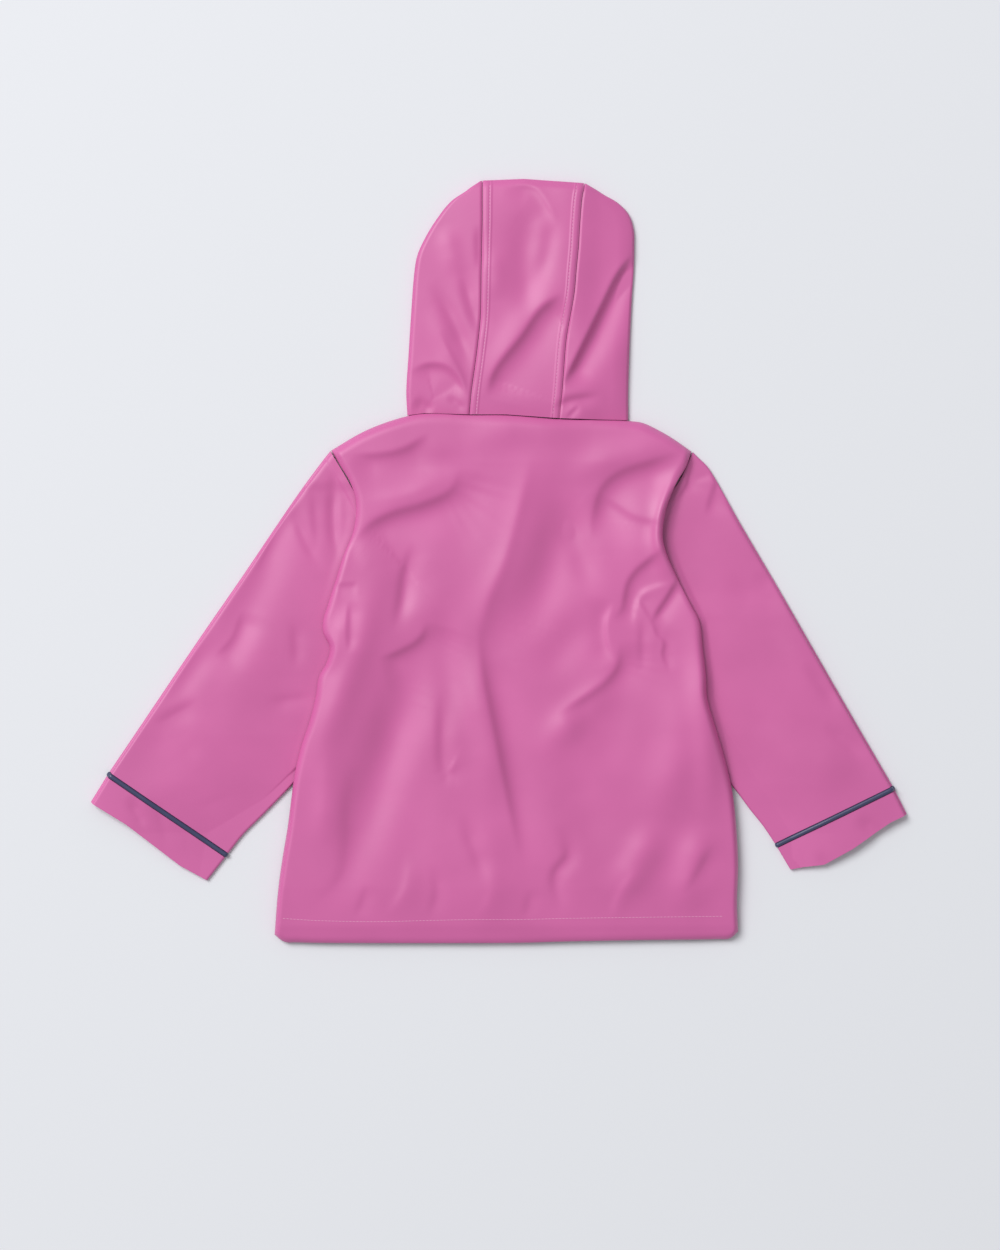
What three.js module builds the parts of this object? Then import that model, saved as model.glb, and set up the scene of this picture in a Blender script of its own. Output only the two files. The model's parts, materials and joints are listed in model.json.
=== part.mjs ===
// A child's hooded raincoat laid face down on a flat surface, in millimetres.
// +X is the wearer's right, +Y points to the hood, +Z is up, and the surface is z = 0.
// Every cloth piece is a thin wall: an outer face over a grid, and an inner face one cloth inside it.
import * as THREE from "three";

// Cloth and seams
const CLOTH = 1.3; // coated cloth
const SEAM_GAP = 0.4; // between two pieces that are sewn together
const HEM = 22; // depth of the hem that is turned up inside the back
const SEAM_BAND = 8; // width of a stitched-down seam allowance
const BAND_RISE = 0.7; // how far a seam allowance lifts the cloth over it
const FOLD_HEIGHT = 3.8; // outside height of a pressed fold between two layers

// Closure of the front
const STUD = { radius: 6, height: 0.9, sides: 20, count: 5, x: 10, top: 96, pitch: 92 };
const OVERLAP = { low: -8, high: 28, jog: 9 }; // x of the two front edges, and the width of the step
const FRONT = { inset: 1.6, sideTop: -210 }; // how far the fronts lie inside, and where the sides start

// Grids and rolled edges
const BACK_WIDTH = 390; // typical
const BACK_LENGTH = 470;
const BACK_STATIONS = { across: 28, down: 30 };
const FRONT_STATIONS = { across: [0.4, 0.6, 0.8, 1], down: 22, near: 4 };
const HOOD_STATIONS = { side: 12, centre: 14, near: 6 };
const EDGE_ROWS = [1.5, 5, 11]; // distances of the close rows inside an edge
const ROLL = { left: 7, right: 7, top: 10, hem: 6 }; // radii of the back's edges
const RIM_REACH = 40; // how far in an edge's height is felt
const LEAST_ROLL = 0.6; // how far an edge always rises
const UNDERLAP_TOP = 70; // y where the back's edge starts to lie over the sleeves
const UNDERLAP = { from: 3, to: 40 }; // how far out of that edge a sleeve rises to its free height
const TROUGH_SHIFT = 0.35; // of its half width, from a trough's steep side to its bottom
const TROUGH_FLOOR = 8.2; // how low the back's outer face goes in its troughs, above its hollow
const SLEEVE_START = [0, 0.025, 0.03]; // the seam band at the armhole, as shares of the sleeve
const SLEEVE_ROWS = 12;
const CUFF_ROWS = [0.35, 0.7, 1]; // shares of the cuff
const HOOD_ROLL = { left: 12, right: 24, crown: 14 };
const HOOD_CENTRE_WIDTH = 88;
const HOOD_NECK_REACH = 30; // how far up the hood its rows still follow the neck
const HOOD_GAP = 0.7; // between the hood and the neck edge
const HOOD_SIDE_COLUMNS = [0, 0.16, 0.34, 0.52, 0.68, 0.82, 0.92, 1]; // from seam to fold
const HOOD_CENTRE_COLUMNS = [0.3, 0.5, 0.7]; // between the two seam bands
const BAND_SLOPE = 1.25; // where the cloth beside a seam band is level again, in band widths
const HOOD_TURN = 0.2; // most of a side's width that its fold takes, near the top of the seam

// Levels of the back's outer face above the surface, down the coat
const BACK_LEVEL = [
  { y: 133, z: 12.5 },
  { y: 90, z: 15 },
  { y: 0, z: 16 },
  { y: -200, z: 14.8 },
  { y: -300, z: 13.6 },
  { y: -335, z: 12 },
  { y: -352, z: 9.6 },
];
// Height of the back's edge where it meets the neck seam, the shoulders and the hem
const NECK_RIM = [
  { x: -154, z: 2.3 },
  { x: -95, z: 2.4 },
  { x: -70, z: 7 },
  { x: -45, z: 9.5 },
  { x: 85, z: 9.5 },
  { x: 108, z: 7 },
  { x: 128, z: 2.4 },
  { x: 177, z: 2.3 },
];
const HEM_RIM = [
  { x: -206, z: 2.4 },
  { x: -165, z: 6 },
  { x: -110, z: 8.9 },
  { x: 120, z: 8.9 },
  { x: 180, z: 6 },
  { x: 220, z: 2.4 },
];
// Height of the back's two side edges: high where they lie over the sleeves, low on the fronts
const SIDE_RIM = [
  { y: 101, left: 2.4, right: 2.4 },
  { y: 88, left: 7.5, right: 8 },
  { y: 71, left: 10.5, right: 13 },
  { y: 20, left: 10.5, right: 14 },
  { y: -30, left: 10, right: 11 },
  { y: -100, left: 9.6, right: 8.7 },
  { y: -160, left: 8.6, right: 7.4 },
  { y: -205, left: 6, right: 5.6 },
  { y: -250, left: 2.6, right: 2.6 },
  { y: -345, left: 2.4, right: 2.4 },
];
// Height of a sleeve's outer face where it goes in under the back's side edge
const SLEEVE_UNDER = [
  { y: 101, left: 1.1, right: 1.1 },
  { y: 71, left: 8.2, right: 8.2 },
  { y: 0, left: 6.7, right: 6.7 },
  { y: -100, left: 5.1, right: 5.3 },
  { y: -205, left: 4.1, right: 4.2 },
  { y: -250, left: 1.3, right: 1.3 },
];

// Outline of the back, seen from above
const NECK_AND_SHOULDERS = [
  [-154, 101], [-127, 117], [-106, 126], [-84, 132.5], [-68, 134.5], [-27, 133], [6, 133],
  [55, 129.5], [88, 128.5], [119, 128], [132, 126.5], [150, 118], [163, 110], [177, 100],
];
const LEFT_EDGE = [
  [-154, 101], [-145, 86], [-136, 71], [-131, 55], [-131, 40], [-134, 24], [-142, 5], [-150, -20],
  [-157, -42], [-161, -55], [-161, -66], [-155, -80], [-158, -94], [-165, -107], [-168, -126],
  [-173, -146], [-181, -170], [-187, -195], [-190, -215], [-194, -245], [-199, -275], [-203, -305],
  [-206, -344],
];
const RIGHT_EDGE = [
  [177, 100], [172, 86], [164, 73], [157, 58], [152, 42], [150, 21], [154, 5], [161, -11],
  [169, -27], [177, -42], [184, -56], [187, -80], [190, -105], [191, -125], [197, -147],
  [205, -173], [211, -196], [215, -215], [218, -241], [220, -279], [219, -315], [220, -341],
];
const HEM_EDGE = [
  [-206, -344], [-197, -350.5], [-186, -351], [-97, -351.3], [20, -351], [62, -349.8],
  [124, -348.7], [200, -348], [212, -347.5], [220, -341],
];
// Armholes, where the sleeves enter under the back, from shoulder to underarm
const LEFT_ARMHOLE = [
  [-154.8, 100.5], [-137, 70.5], [-126, 48], [-119, 10], [-118, -40], [-124, -100], [-143, -153],
];
const RIGHT_ARMHOLE = [
  [178.4, 99.5], [165.6, 72.3], [148, 48], [141, 10], [140, -40], [145, -95], [159, -147],
];

// Broad swells and hollows of the back: the middle line of each, half its width and its depth,
// which is negative where the cloth swells up
const BACK_SWELLS = [
  {
    at: [[-114, -12], [-120, -40], [-130, -80], [-146, -125], [-160, -168], [-168, -205]],
    half: 16, depth: -3.4,
  },
  { at: [[36, 92], [34, 50], [26, 10], [8, -30], [-8, -66]], half: 19, depth: -4.2 },
  { at: [[-18, -90], [-14, -125], [-6, -165], [2, -225]], half: 14, depth: -2.8 },
  { at: [[163, 82], [153, 48], [150, 18], [153, -4], [156, -24]], half: 12, depth: -5.5 },
  { at: [[135, 66], [130, 20], [132, -10]], half: 18, depth: -2.4 },
  { at: [[165, 106], [130, 99], [95, 90], [66, 76]], half: 14, depth: -2.2 },
  { at: [[176, -50], [184, -88], [188, -128], [192, -180], [192, -240]], half: 13, depth: -4.7 },
  { at: [[166, -105], [168, -160], [158, -205], [148, -240]], half: 22, depth: -3.9 },
  { at: [[108, -112], [84, -132], [62, -152], [46, -176]], half: 15, depth: -3.4 },
  { at: [[142, -250], [128, -276], [116, -303]], half: 16, depth: -3.8 },
  { at: [[188, -252], [178, -280], [176, -312]], half: 16, depth: -4 },
  { at: [[-24, -250], [-10, -290], [-4, -322]], half: 24, depth: -2.6 },
  { at: [[-20, 112], [15, 122], [70, 114]], half: 17, depth: -2.9 },
  { at: [[-160, -170], [-164, -250]], half: 14, depth: -1.6 },
  { at: [[-22, 96], [-28, 40], [-34, -4]], half: 20, depth: 1.4 },
  { at: [[-50, -36], [-48, -80], [-45, -122], [-44, -152]], half: 15, depth: 2.4 },
  { at: [[-92, 14], [-84, -8], [-78, -36]], half: 18, depth: 2.2 },
  {
    at: [[-60, -84], [-82, -118], [-94, -150], [-102, -182], [-108, -216], [-115, -250], [-122, -292]],
    half: 23, depth: 6.6,
  },
  { at: [[-68, -172], [-76, -220], [-84, -270], [-90, -305]], half: 22, depth: 2.1 },
  { at: [[-100, 84], [-60, 88], [-25, 88]], half: 12, depth: 1.8 },
  { at: [[66, 50], [70, 25], [76, 4], [84, -24]], half: 13, depth: 2.6 },
  { at: [[76, -60], [56, -84], [46, -100]], half: 18, depth: 2.1 },
  { at: [[70, -195], [80, -230], [95, -250]], half: 20, depth: 1.6 },
];
// Folds as seen from above: each row follows the steep side of one trough (or ridge, if its
// depth is negative), with half its width and its depth
const BACK_FOLDS = [
  { at: [[-136, 95], [-108, 97], [-86, 103], [-62, 118]], half: 8, depth: 2.4 },
  { at: [[-62, 74], [-92, 62], [-122, 58]], half: 13, depth: -1.2 },
  { at: [[-38, 78], [-45, 57], [-69, 43], [-97, 33], [-117, 21], [-131, 4]], half: 10, depth: 3.4 },
  { at: [[-80, 14], [-87, -9], [-91, -35], [-96, -60]], half: 7, depth: 1.8 },
  { at: [[-58, -78], [-69, -89], [-87, -96], [-104, -104], [-120, -124]], half: 10, depth: 1.6 },
  { at: [[-131, -183], [-139, -215], [-140, -257], [-146, -287], [-170, -312]], half: 9, depth: 1.5 },
  { at: [[46, 95], [40, 46], [24, -7], [2, -60]], half: 15, depth: 3 },
  { at: [[-8, -75], [2, -150], [14, -221], [25, -270]], half: 9, depth: 2.6 },
  { at: [[-53, -121], [-49, -193], [-34, -186]], half: 8, depth: 1.4 },
  { at: [[-34, -235], [-15, -286]], half: 9, depth: 1.6 },
  { at: [[54, -242], [62, -267], [50, -286], [57, -318]], half: 9, depth: 1.8 },
  { at: [[172, 94], [136, 84], [106, 71], [91, 56], [86, 34], [84, 10]], half: 9, depth: 3.2 },
  { at: [[146, 4], [122, -10], [112, -38], [103, -56]], half: 8, depth: 2 },
  { at: [[162, -18], [149, -38], [139, -64]], half: 7, depth: 2.4 },
  { at: [[117, -82], [104, -116], [90, -128], [60, -146]], half: 9, depth: 2.4 },
  { at: [[193, -262], [181, -285], [172, -300]], half: 9, depth: 1.4 },
];
const HOOD_FOLDS = [
  { at: [[64, 262], [44, 240], [22, 214], [2, 180], [-14, 158]], half: 14, depth: -2.4 },
  { at: [[-61, 250], [-43, 220], [-28, 184]], half: 8, depth: 1.8 },
  { at: [[-80, 168], [-62, 174], [-46, 172], [-32, 150]], half: 8, depth: 2 },
  { at: [[26, 328], [17, 278], [22, 246], [26, 218]], half: 10, depth: 2.4 },
  { at: [[12, 344], [50, 320]], half: 8, depth: -1.4 },
  { at: [[58, 236], [40, 218], [21, 194], [-4, 160]], half: 10, depth: 3.6 },
  { at: [[118, 268], [105, 250], [92, 222], [76, 190], [66, 172]], half: 9, depth: 3.6 },
  { at: [[57, 133], [68, 146], [90, 149]], half: 8, depth: 3.3 },
];
const SLEEVE_FOLDS = [
  { at: [[-152, 46], [-150, 0]], half: 9, depth: 2.6 },
  { at: [[-180, 40], [-169, -18]], half: 9, depth: 2 },
  { at: [[-226, 0], [-242, -60]], half: 16, depth: 1.6 },
  { at: [[-280, -92], [-298, -130]], half: 15, depth: 1.2 },
  { at: [[-205, -120], [-172, -128]], half: 10, depth: 1.4 },
  { at: [[222, -30], [252, -44]], half: 16, depth: 1.5 },
  { at: [[268, -80], [300, -108]], half: 13, depth: 1.6 },
  { at: [[308, -122], [330, -156]], half: 12, depth: 1.4 },
];

// Hood, seen from above: rows go up from the neck. The seams lie between side and centre, the
// outline is the fold where a side turns under, and the face edge is where it ends below.
const HOOD_LEFT = [
  { y: 132.6, seam: -27, outline: -84, face: -24 },
  { y: 155, seam: -25, outline: -85, face: -33 },
  { y: 188, seam: -20.5, outline: -83, face: -37 },
  { y: 220, seam: -17, outline: -81, face: -37 },
  { y: 266, seam: -16, outline: -77.5, face: -30 },
  { y: 280, seam: -15.7, outline: -75, face: -24 },
  { y: 292, seam: -15.5, outline: -70, face: -15.5 },
  { y: 311, seam: -15, outline: -59, face: -15 },
  { y: 330, seam: -15, outline: -44, face: -15 },
  { y: 339, seam: -15, outline: -31, face: -15 },
  { y: 343.5, seam: -15, outline: -25, face: -15 },
  { y: 348.6, seam: -15, outline: -17, face: -15 },
];
const HOOD_RIGHT = [
  { y: 127.5, seam: 55, outline: 119, face: 62 },
  { y: 155, seam: 58, outline: 119, face: 76 },
  { y: 204, seam: 62, outline: 120.5, face: 81 },
  { y: 244, seam: 69, outline: 122.5, face: 80 },
  { y: 266, seam: 71, outline: 124, face: 77 },
  { y: 287, seam: 73, outline: 124.5, face: 74 },
  { y: 304, seam: 74, outline: 124, face: 74 },
  { y: 318, seam: 75, outline: 119.5, face: 75 },
  { y: 329, seam: 76, outline: 109, face: 76 },
  { y: 336, seam: 77, outline: 97, face: 77 },
  { y: 340.5, seam: 78, outline: 90, face: 78 },
  { y: 346, seam: 78.6, outline: 80.6, face: 78.6 },
];
const HOOD_TOP = { leftX: -15, left: 349, middleX: 23, middle: 350.5, rightX: 79, right: 346.5 };
const FACE_TOP = 297; // y of the hood's centre edge on the underside
const HOOD_LEVEL = [
  { y: 128, z: 9.5 },
  { y: 145, z: 12.8 },
  { y: 200, z: 14.6 },
  { y: 290, z: 13.6 },
  { y: 330, z: 11.5 },
  { y: 351, z: 8.5 },
];

// Sleeves: outer and inner edges from the armhole to the piping, then the cuff's edges to its
// open end. The end's wave is how far its rim stands beyond the straight line, across the cuff.
const SLEEVES = {
  left: {
    sign: -1,
    armhole: LEFT_ARMHOLE,
    outer: [[-154.8, 100.5], [-160, 94], [-183, 63], [-238, -18], [-276, -73], [-332, -156], [-359, -196]],
    inner: [[-143, -153], [-155, -167], [-189, -205], [-216, -233], [-235, -252], [-250, -271]],
    end: { outer: [-375, -222], inner: [-268, -294] },
    wave: [
      { across: 0, out: 0 },
      { across: 0.3, out: -1.5 },
      { across: 0.6, out: 1 },
      { across: 0.78, out: 2.5 },
      { across: 1, out: 0 },
    ],
  },
  right: {
    sign: 1,
    armhole: RIGHT_ARMHOLE,
    outer: [[178.4, 99.5], [184, 94], [192, 86], [222, 34], [259, -29], [301, -102], [331, -154], [363, -209]],
    inner: [[159, -147], [185, -174], [216, -209], [231, -229], [243, -244], [255, -262]],
    end: { outer: [375, -233], inner: [268, -284] },
    wave: [
      { across: 0, out: 0 },
      { across: 0.15, out: 0 },
      { across: 0.5, out: 7 },
      { across: 0.75, out: 9 },
      { across: 0.9, out: 3 },
      { across: 1, out: 0 },
    ],
  },
};
const SLEEVE_HEIGHT = 11.5; // of the outer face over the middle of the sleeve
const PIPING = { width: 4.4, rise: 1.5, crest: 0.55 }; // its crest is a share of its width

// One ring round a sleeve: place across it, from the outer edge to the inner edge, and how far
// the face has risen from the pressed fold to the full height. The lower rows lie on the surface.
const RING = [
  { across: 0, fold: 0.5, rise: 0 },
  { across: 0.012, fold: 0.92, rise: 0 },
  { across: 0.05, fold: 1, rise: 0.3 },
  { across: 0.12, fold: 1, rise: 0.66 },
  { across: 0.22, fold: 1, rise: 0.9 },
  { across: 0.34, fold: 1, rise: 1 },
  { across: 0.47, fold: 1, rise: 1 },
  { across: 0.6, fold: 1, rise: 0.97 },
  { across: 0.72, fold: 1, rise: 0.86 },
  { across: 0.82, fold: 1, rise: 0.7 },
  { across: 0.9, fold: 1, rise: 0.42 },
  { across: 0.95, fold: 1, rise: 0.2 },
  { across: 0.988, fold: 0.92, rise: 0 },
  { across: 1, fold: 0.5, rise: 0 },
  { across: 0.985, fold: 0, rise: 0 },
  { across: 0.66, fold: 0, rise: 0 },
  { across: 0.33, fold: 0, rise: 0 },
  { across: 0.015, fold: 0, rise: 0 },
];

const MATERIALS = {
  cloth: new THREE.MeshStandardMaterial({ color: 0xd070a8, roughness: 0.55, metalness: 0 }),
  piping: new THREE.MeshStandardMaterial({ color: 0x3a3f5e, roughness: 0.5, metalness: 0 }),
  stud: new THREE.MeshStandardMaterial({ color: 0xc8689e, roughness: 0.4, metalness: 0 }),
};

const coat = new THREE.Group();

/** Value of a column of a table at a place, with straight lines between rows. */
function column(rows, key, at, name) {
  const up = rows[0][key] < rows[rows.length - 1][key] ? 1 : -1;
  let i = 0;
  while (i < rows.length - 2 && up * at > up * rows[i + 1][key]) i += 1;
  const share = (at - rows[i][key]) / (rows[i + 1][key] - rows[i][key]);
  return THREE.MathUtils.lerp(rows[i][name], rows[i + 1][name], THREE.MathUtils.clamp(share, 0, 1));
}

/** A curve through points on the plan. */
function route(points) {
  const places = points.map(([x, y]) => new THREE.Vector3(x, y, 0));
  return new THREE.CatmullRomCurve3(places, false, "centripetal");
}

/** Shares from 0 to 1 along a length, close together at both ends and even between. */
function stations(count, length, near) {
  const first = near.map((d) => d / length);
  const last = near.map((d) => 1 - d / length).reverse();
  const start = near[near.length - 1] / length;
  const even = Array.from({ length: count }, (_, i) =>
    THREE.MathUtils.lerp(start, 1 - start, (i + 1) / (count + 1)),
  );
  return [0, ...first, ...even, ...last, 1];
}

/** A place inside four edge curves: the two ruled surfaces between them less the corners' one. */
function inPatch({ top, bottom, left, right }, u, v) {
  const at = (curve, share) => curve.getPointAt(share);
  const corners = at(top, 0).multiplyScalar((1 - u) * (1 - v));
  corners.addScaledVector(at(top, 1), u * (1 - v));
  corners.addScaledVector(at(bottom, 0), (1 - u) * v);
  corners.addScaledVector(at(bottom, 1), u * v);
  return at(top, u).multiplyScalar(1 - v)
    .addScaledVector(at(bottom, u), v)
    .addScaledVector(at(left, v), 1 - u)
    .addScaledVector(at(right, v), u)
    .sub(corners);
}

/** Height of a rounded edge, as a share, at a distance inside it. */
function roll(distance, radius) {
  const rest = 1 - Math.min(distance / radius, 1);
  return Math.sqrt(1 - rest * rest);
}

/** How far folds lower the cloth at a place on the plan. */
function foldDepth(folds, place, trough = TROUGH_SHIFT) {
  const near = new THREE.Vector3();
  const stretch = new THREE.Line3();
  return folds.reduce((sum, { at, half, depth }) => {
    const shift = half * trough;
    const away = Math.min(
      ...at.slice(1).map(([x, y], i) => {
        stretch.start.set(at[i][0] + shift, at[i][1] - shift, 0);
        stretch.end.set(x + shift, y - shift, 0);
        return stretch.closestPointToPoint(place, true, near).distanceTo(place);
      }),
    );
    return sum + depth * Math.exp(-((away / half) ** 2));
  }, 0);
}

/** Directions out of a grid of points, each between the faces around it. */
function outward(grid, loop) {
  const rows = grid.length;
  const columns = grid[0].length;
  const step = (from, to) => to.clone().sub(from).normalize();
  const across = (r, c) => {
    const row = grid[r];
    const next = loop ? row[(c + 1) % columns] : row[Math.min(c + 1, columns - 1)];
    const last = loop ? row[(c + columns - 1) % columns] : row[Math.max(c - 1, 0)];
    return step(last, row[c]).add(step(row[c], next));
  };
  const down = (r, c) =>
    step(grid[Math.max(r - 1, 0)][c], grid[r][c]).add(step(grid[r][c], grid[Math.min(r + 1, rows - 1)][c]));
  return grid.map((row, r) => row.map((_, c) => across(r, c).cross(down(r, c)).normalize()));
}

/** A closed wall: the outer grid, the inner grid one thickness inside it, and their joined rims. */
function wall(name, outer, { loop = false, turn = 1, thickness = () => CLOTH, floor = 0 } = {}) {
  const columns = outer[0].length;
  const rows = outer.length;
  const out = outward(outer, loop);
  const inner = outer.map((row, r) =>
    row.map((p, c) => {
      const inside = p.clone().addScaledVector(out[r][c], -turn * thickness(r, c));
      return inside.setZ(Math.max(inside.z, floor));
    }),
  );
  const points = [...outer.flat(), ...inner.flat()];
  const index = [];
  const id = (r, c, layer) => layer * rows * columns + r * columns + (c % columns);
  const quad = (a, b, c, d) => index.push(a, b, c, a, c, d);
  const lastColumn = loop ? columns : columns - 1;
  for (let r = 0; r < rows - 1; r += 1)
    for (let c = 0; c < lastColumn; c += 1) {
      quad(id(r, c, 0), id(r, c + 1, 0), id(r + 1, c + 1, 0), id(r + 1, c, 0));
      quad(id(r, c, 1), id(r + 1, c, 1), id(r + 1, c + 1, 1), id(r, c + 1, 1));
    }
  for (let c = 0; c < lastColumn; c += 1) {
    quad(id(0, c, 0), id(0, c, 1), id(0, c + 1, 1), id(0, c + 1, 0));
    quad(id(rows - 1, c, 0), id(rows - 1, c + 1, 0), id(rows - 1, c + 1, 1), id(rows - 1, c, 1));
  }
  if (!loop)
    for (let r = 0; r < rows - 1; r += 1) {
      quad(id(r, 0, 0), id(r + 1, 0, 0), id(r + 1, 0, 1), id(r, 0, 1));
      const end = columns - 1;
      quad(id(r, end, 0), id(r, end, 1), id(r + 1, end, 1), id(r + 1, end, 0));
    }
  if (turn < 0) index.reverse();
  const geometry = new THREE.BufferGeometry().setFromPoints(points);
  geometry.setIndex(index);
  geometry.computeVertexNormals();
  return piece(name, geometry, MATERIALS.cloth);
}

/** Adds a named piece to the coat. */
function piece(name, geometry, material) {
  const mesh = new THREE.Mesh(geometry, material);
  mesh.name = name;
  coat.add(mesh);
  return mesh;
}

// Back: one panel between neck, shoulders, sides and hem, rolled at its edges
const backEdges = {
  top: route(NECK_AND_SHOULDERS),
  bottom: route(HEM_EDGE),
  left: route(LEFT_EDGE),
  right: route(RIGHT_EDGE),
};

/** Height of the back's outer face at a place of its patch. */
function backHeight(place, u, v) {
  const fromSide = {
    left: place.distanceTo(backEdges.left.getPointAt(v)),
    right: place.distanceTo(backEdges.right.getPointAt(v)),
  };
  const fromTop = place.distanceTo(backEdges.top.getPointAt(u));
  const fromHem = place.distanceTo(backEdges.bottom.getPointAt(u));
  const sideRim = column(SIDE_RIM, "y", place.y, u < 0.5 ? "left" : "right");
  const neckRim = column(NECK_RIM, "x", place.x, "z");
  const endRim = THREE.MathUtils.lerp(neckRim, column(HEM_RIM, "x", place.x, "z"), v);
  const inside = THREE.MathUtils.smoothstep(Math.min(fromSide.left, fromSide.right), 0, RIM_REACH);
  const rim = THREE.MathUtils.lerp(sideRim, endRim, inside);
  const folds = foldDepth(BACK_SWELLS, place, 0) + foldDepth(BACK_FOLDS, place);
  const level = Math.max(column(BACK_LEVEL, "y", place.y, "z") - folds, TROUGH_FLOOR);
  const rise = Math.min(roll(fromSide.left, ROLL.left), roll(fromSide.right, ROLL.right))
    * Math.min(roll(fromTop, ROLL.top), roll(fromHem, ROLL.hem));
  return rim + Math.max(level - rim, LEAST_ROLL) * rise;
}

const backColumns = stations(BACK_STATIONS.across, BACK_WIDTH, EDGE_ROWS);
const backRows = stations(BACK_STATIONS.down, BACK_LENGTH, EDGE_ROWS);
const backGrid = backRows.map((v) =>
  backColumns.map((u) => {
    const place = inPatch(backEdges, u, v);
    place.z = backHeight(place, u, v);
    return place;
  }),
);
const hemRow = backRows.findIndex((v) => v > 1 - HEM / BACK_LENGTH);
wall("back", backGrid, {
  turn: -1,
  thickness: (r) => (r >= hemRow ? 2 : 1) * CLOTH,
  floor: CLOTH + SEAM_GAP,
});

// Fronts: flat on the surface, with the left one stepping up over the right one's edge.
// Their outer sides run down the armhole, out along the sleeve's fold and down the side.
const outerSide = (armhole, sleeve, edge, sign) =>
  route(
    [...armhole, ...sleeve.inner.slice(1, 3), ...edge.filter(([, y]) => y < FRONT.sideTop)].map(
      ([x, y]) => [x - sign * FRONT.inset, y],
    ),
  );
const neckAt = (x) => column(NECK_AND_SHOULDERS.map(([px, y]) => ({ x: px, y })), "x", x, "y");
const hemAt = (x) => column(HEM_EDGE.map(([px, y]) => ({ x: px, y })), "x", x, "y") + FRONT.inset;
const edgeBetween = (points, low, high, at) =>
  route([
    [low, at(low)],
    ...points.filter(([x]) => x > low + FRONT.inset && x < high - FRONT.inset).map(([x]) => [x, at(x)]),
    [high, at(high)],
  ]);

const stepHeight = CLOTH + 2 * SEAM_GAP + STUD.height;
const fronts = {
  left: {
    top: edgeBetween(NECK_AND_SHOULDERS, LEFT_ARMHOLE[0][0] + FRONT.inset, OVERLAP.high, neckAt),
    bottom: edgeBetween(HEM_EDGE, HEM_EDGE[0][0] + FRONT.inset, OVERLAP.high, hemAt),
    left: outerSide(LEFT_ARMHOLE, SLEEVES.left, LEFT_EDGE, -1),
    right: route([[OVERLAP.high, neckAt(OVERLAP.high)], [OVERLAP.high, hemAt(OVERLAP.high)]]),
  },
  right: {
    top: edgeBetween(NECK_AND_SHOULDERS, OVERLAP.low, RIGHT_ARMHOLE[0][0] - FRONT.inset, neckAt),
    bottom: edgeBetween(HEM_EDGE, OVERLAP.low, HEM_EDGE.at(-1)[0] - FRONT.inset, hemAt),
    left: route([[OVERLAP.low, neckAt(OVERLAP.low)], [OVERLAP.low, hemAt(OVERLAP.low)]]),
    right: outerSide(RIGHT_ARMHOLE, SLEEVES.right, RIGHT_EDGE, 1),
  },
};
const frontRows = stations(FRONT_STATIONS.down, BACK_LENGTH, [FRONT_STATIONS.near]);
const stepEnd = OVERLAP.high - OVERLAP.low; // how far the left front lies over the right one's edge

/** A front's grid, with columns at the given distances in from its straight edge. */
function frontGrid(edges, distances, straight) {
  return frontRows.map((v) => {
    const reach = edges.left.getPointAt(v).distanceTo(edges.right.getPointAt(v));
    const shares = [...distances.map((d) => d / reach), ...FRONT_STATIONS.across];
    const across = straight === "left" ? shares : shares.map((share) => 1 - share).reverse();
    return across.map((u) => {
      const place = inPatch(edges, u, v);
      const below = OVERLAP.low - OVERLAP.jog;
      const step = THREE.MathUtils.clamp((place.x - below) / (OVERLAP.jog - FRONT.inset), 0, 1);
      place.z = straight === "left" ? 0 : stepHeight * step;
      return place;
    });
  });
}
wall("front_left", frontGrid(fronts.left, [0, stepEnd + FRONT.inset, stepEnd + OVERLAP.jog], "right"));
wall("front_right", frontGrid(fronts.right, [0, stepEnd - FRONT_STATIONS.near], "left"));

for (let i = 0; i < STUD.count; i += 1) {
  const disc = new THREE.CylinderGeometry(STUD.radius, STUD.radius, STUD.height, STUD.sides);
  disc.rotateX(Math.PI / 2);
  const stud = piece(`stud_${i + 1}`, disc, MATERIALS.stud);
  stud.position.set(STUD.x, STUD.top - i * STUD.pitch, CLOTH + SEAM_GAP + STUD.height / 2);
}

// Sleeves, cuffs and piping: flattened tubes, one ring after another
const edgeRows = {
  left: LEFT_EDGE.map(([x, y]) => ({ x, y })),
  right: RIGHT_EDGE.map(([x, y]) => ({ x, y })),
};

/** Height of a sleeve's outer face over a place on the plan, kept below the back's edge. */
function sleeveHeight(side, place) {
  const free = SLEEVE_HEIGHT - foldDepth(SLEEVE_FOLDS, place);
  if (place.y > UNDERLAP_TOP) return free;
  const outside = SLEEVES[side].sign * (place.x - column(edgeRows[side], "y", place.y, "x"));
  const under = column(SLEEVE_UNDER, "y", place.y, side);
  const clear = under + SLEEVE_HEIGHT * THREE.MathUtils.smoothstep(outside, UNDERLAP.from, UNDERLAP.to);
  return Math.min(free, clear);
}

/** One ring of a sleeve, from the places of its outer and inner edges and a shift across it. */
function sleeveRing(side, outer, inner, shift = () => new THREE.Vector3()) {
  return RING.map(({ across, fold, rise }) => {
    const place = outer.clone().lerp(inner, across).add(shift(across));
    const folded = FOLD_HEIGHT * fold;
    place.z = folded + Math.max(sleeveHeight(side, place) - FOLD_HEIGHT, 0) * rise;
    return place;
  });
}

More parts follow.
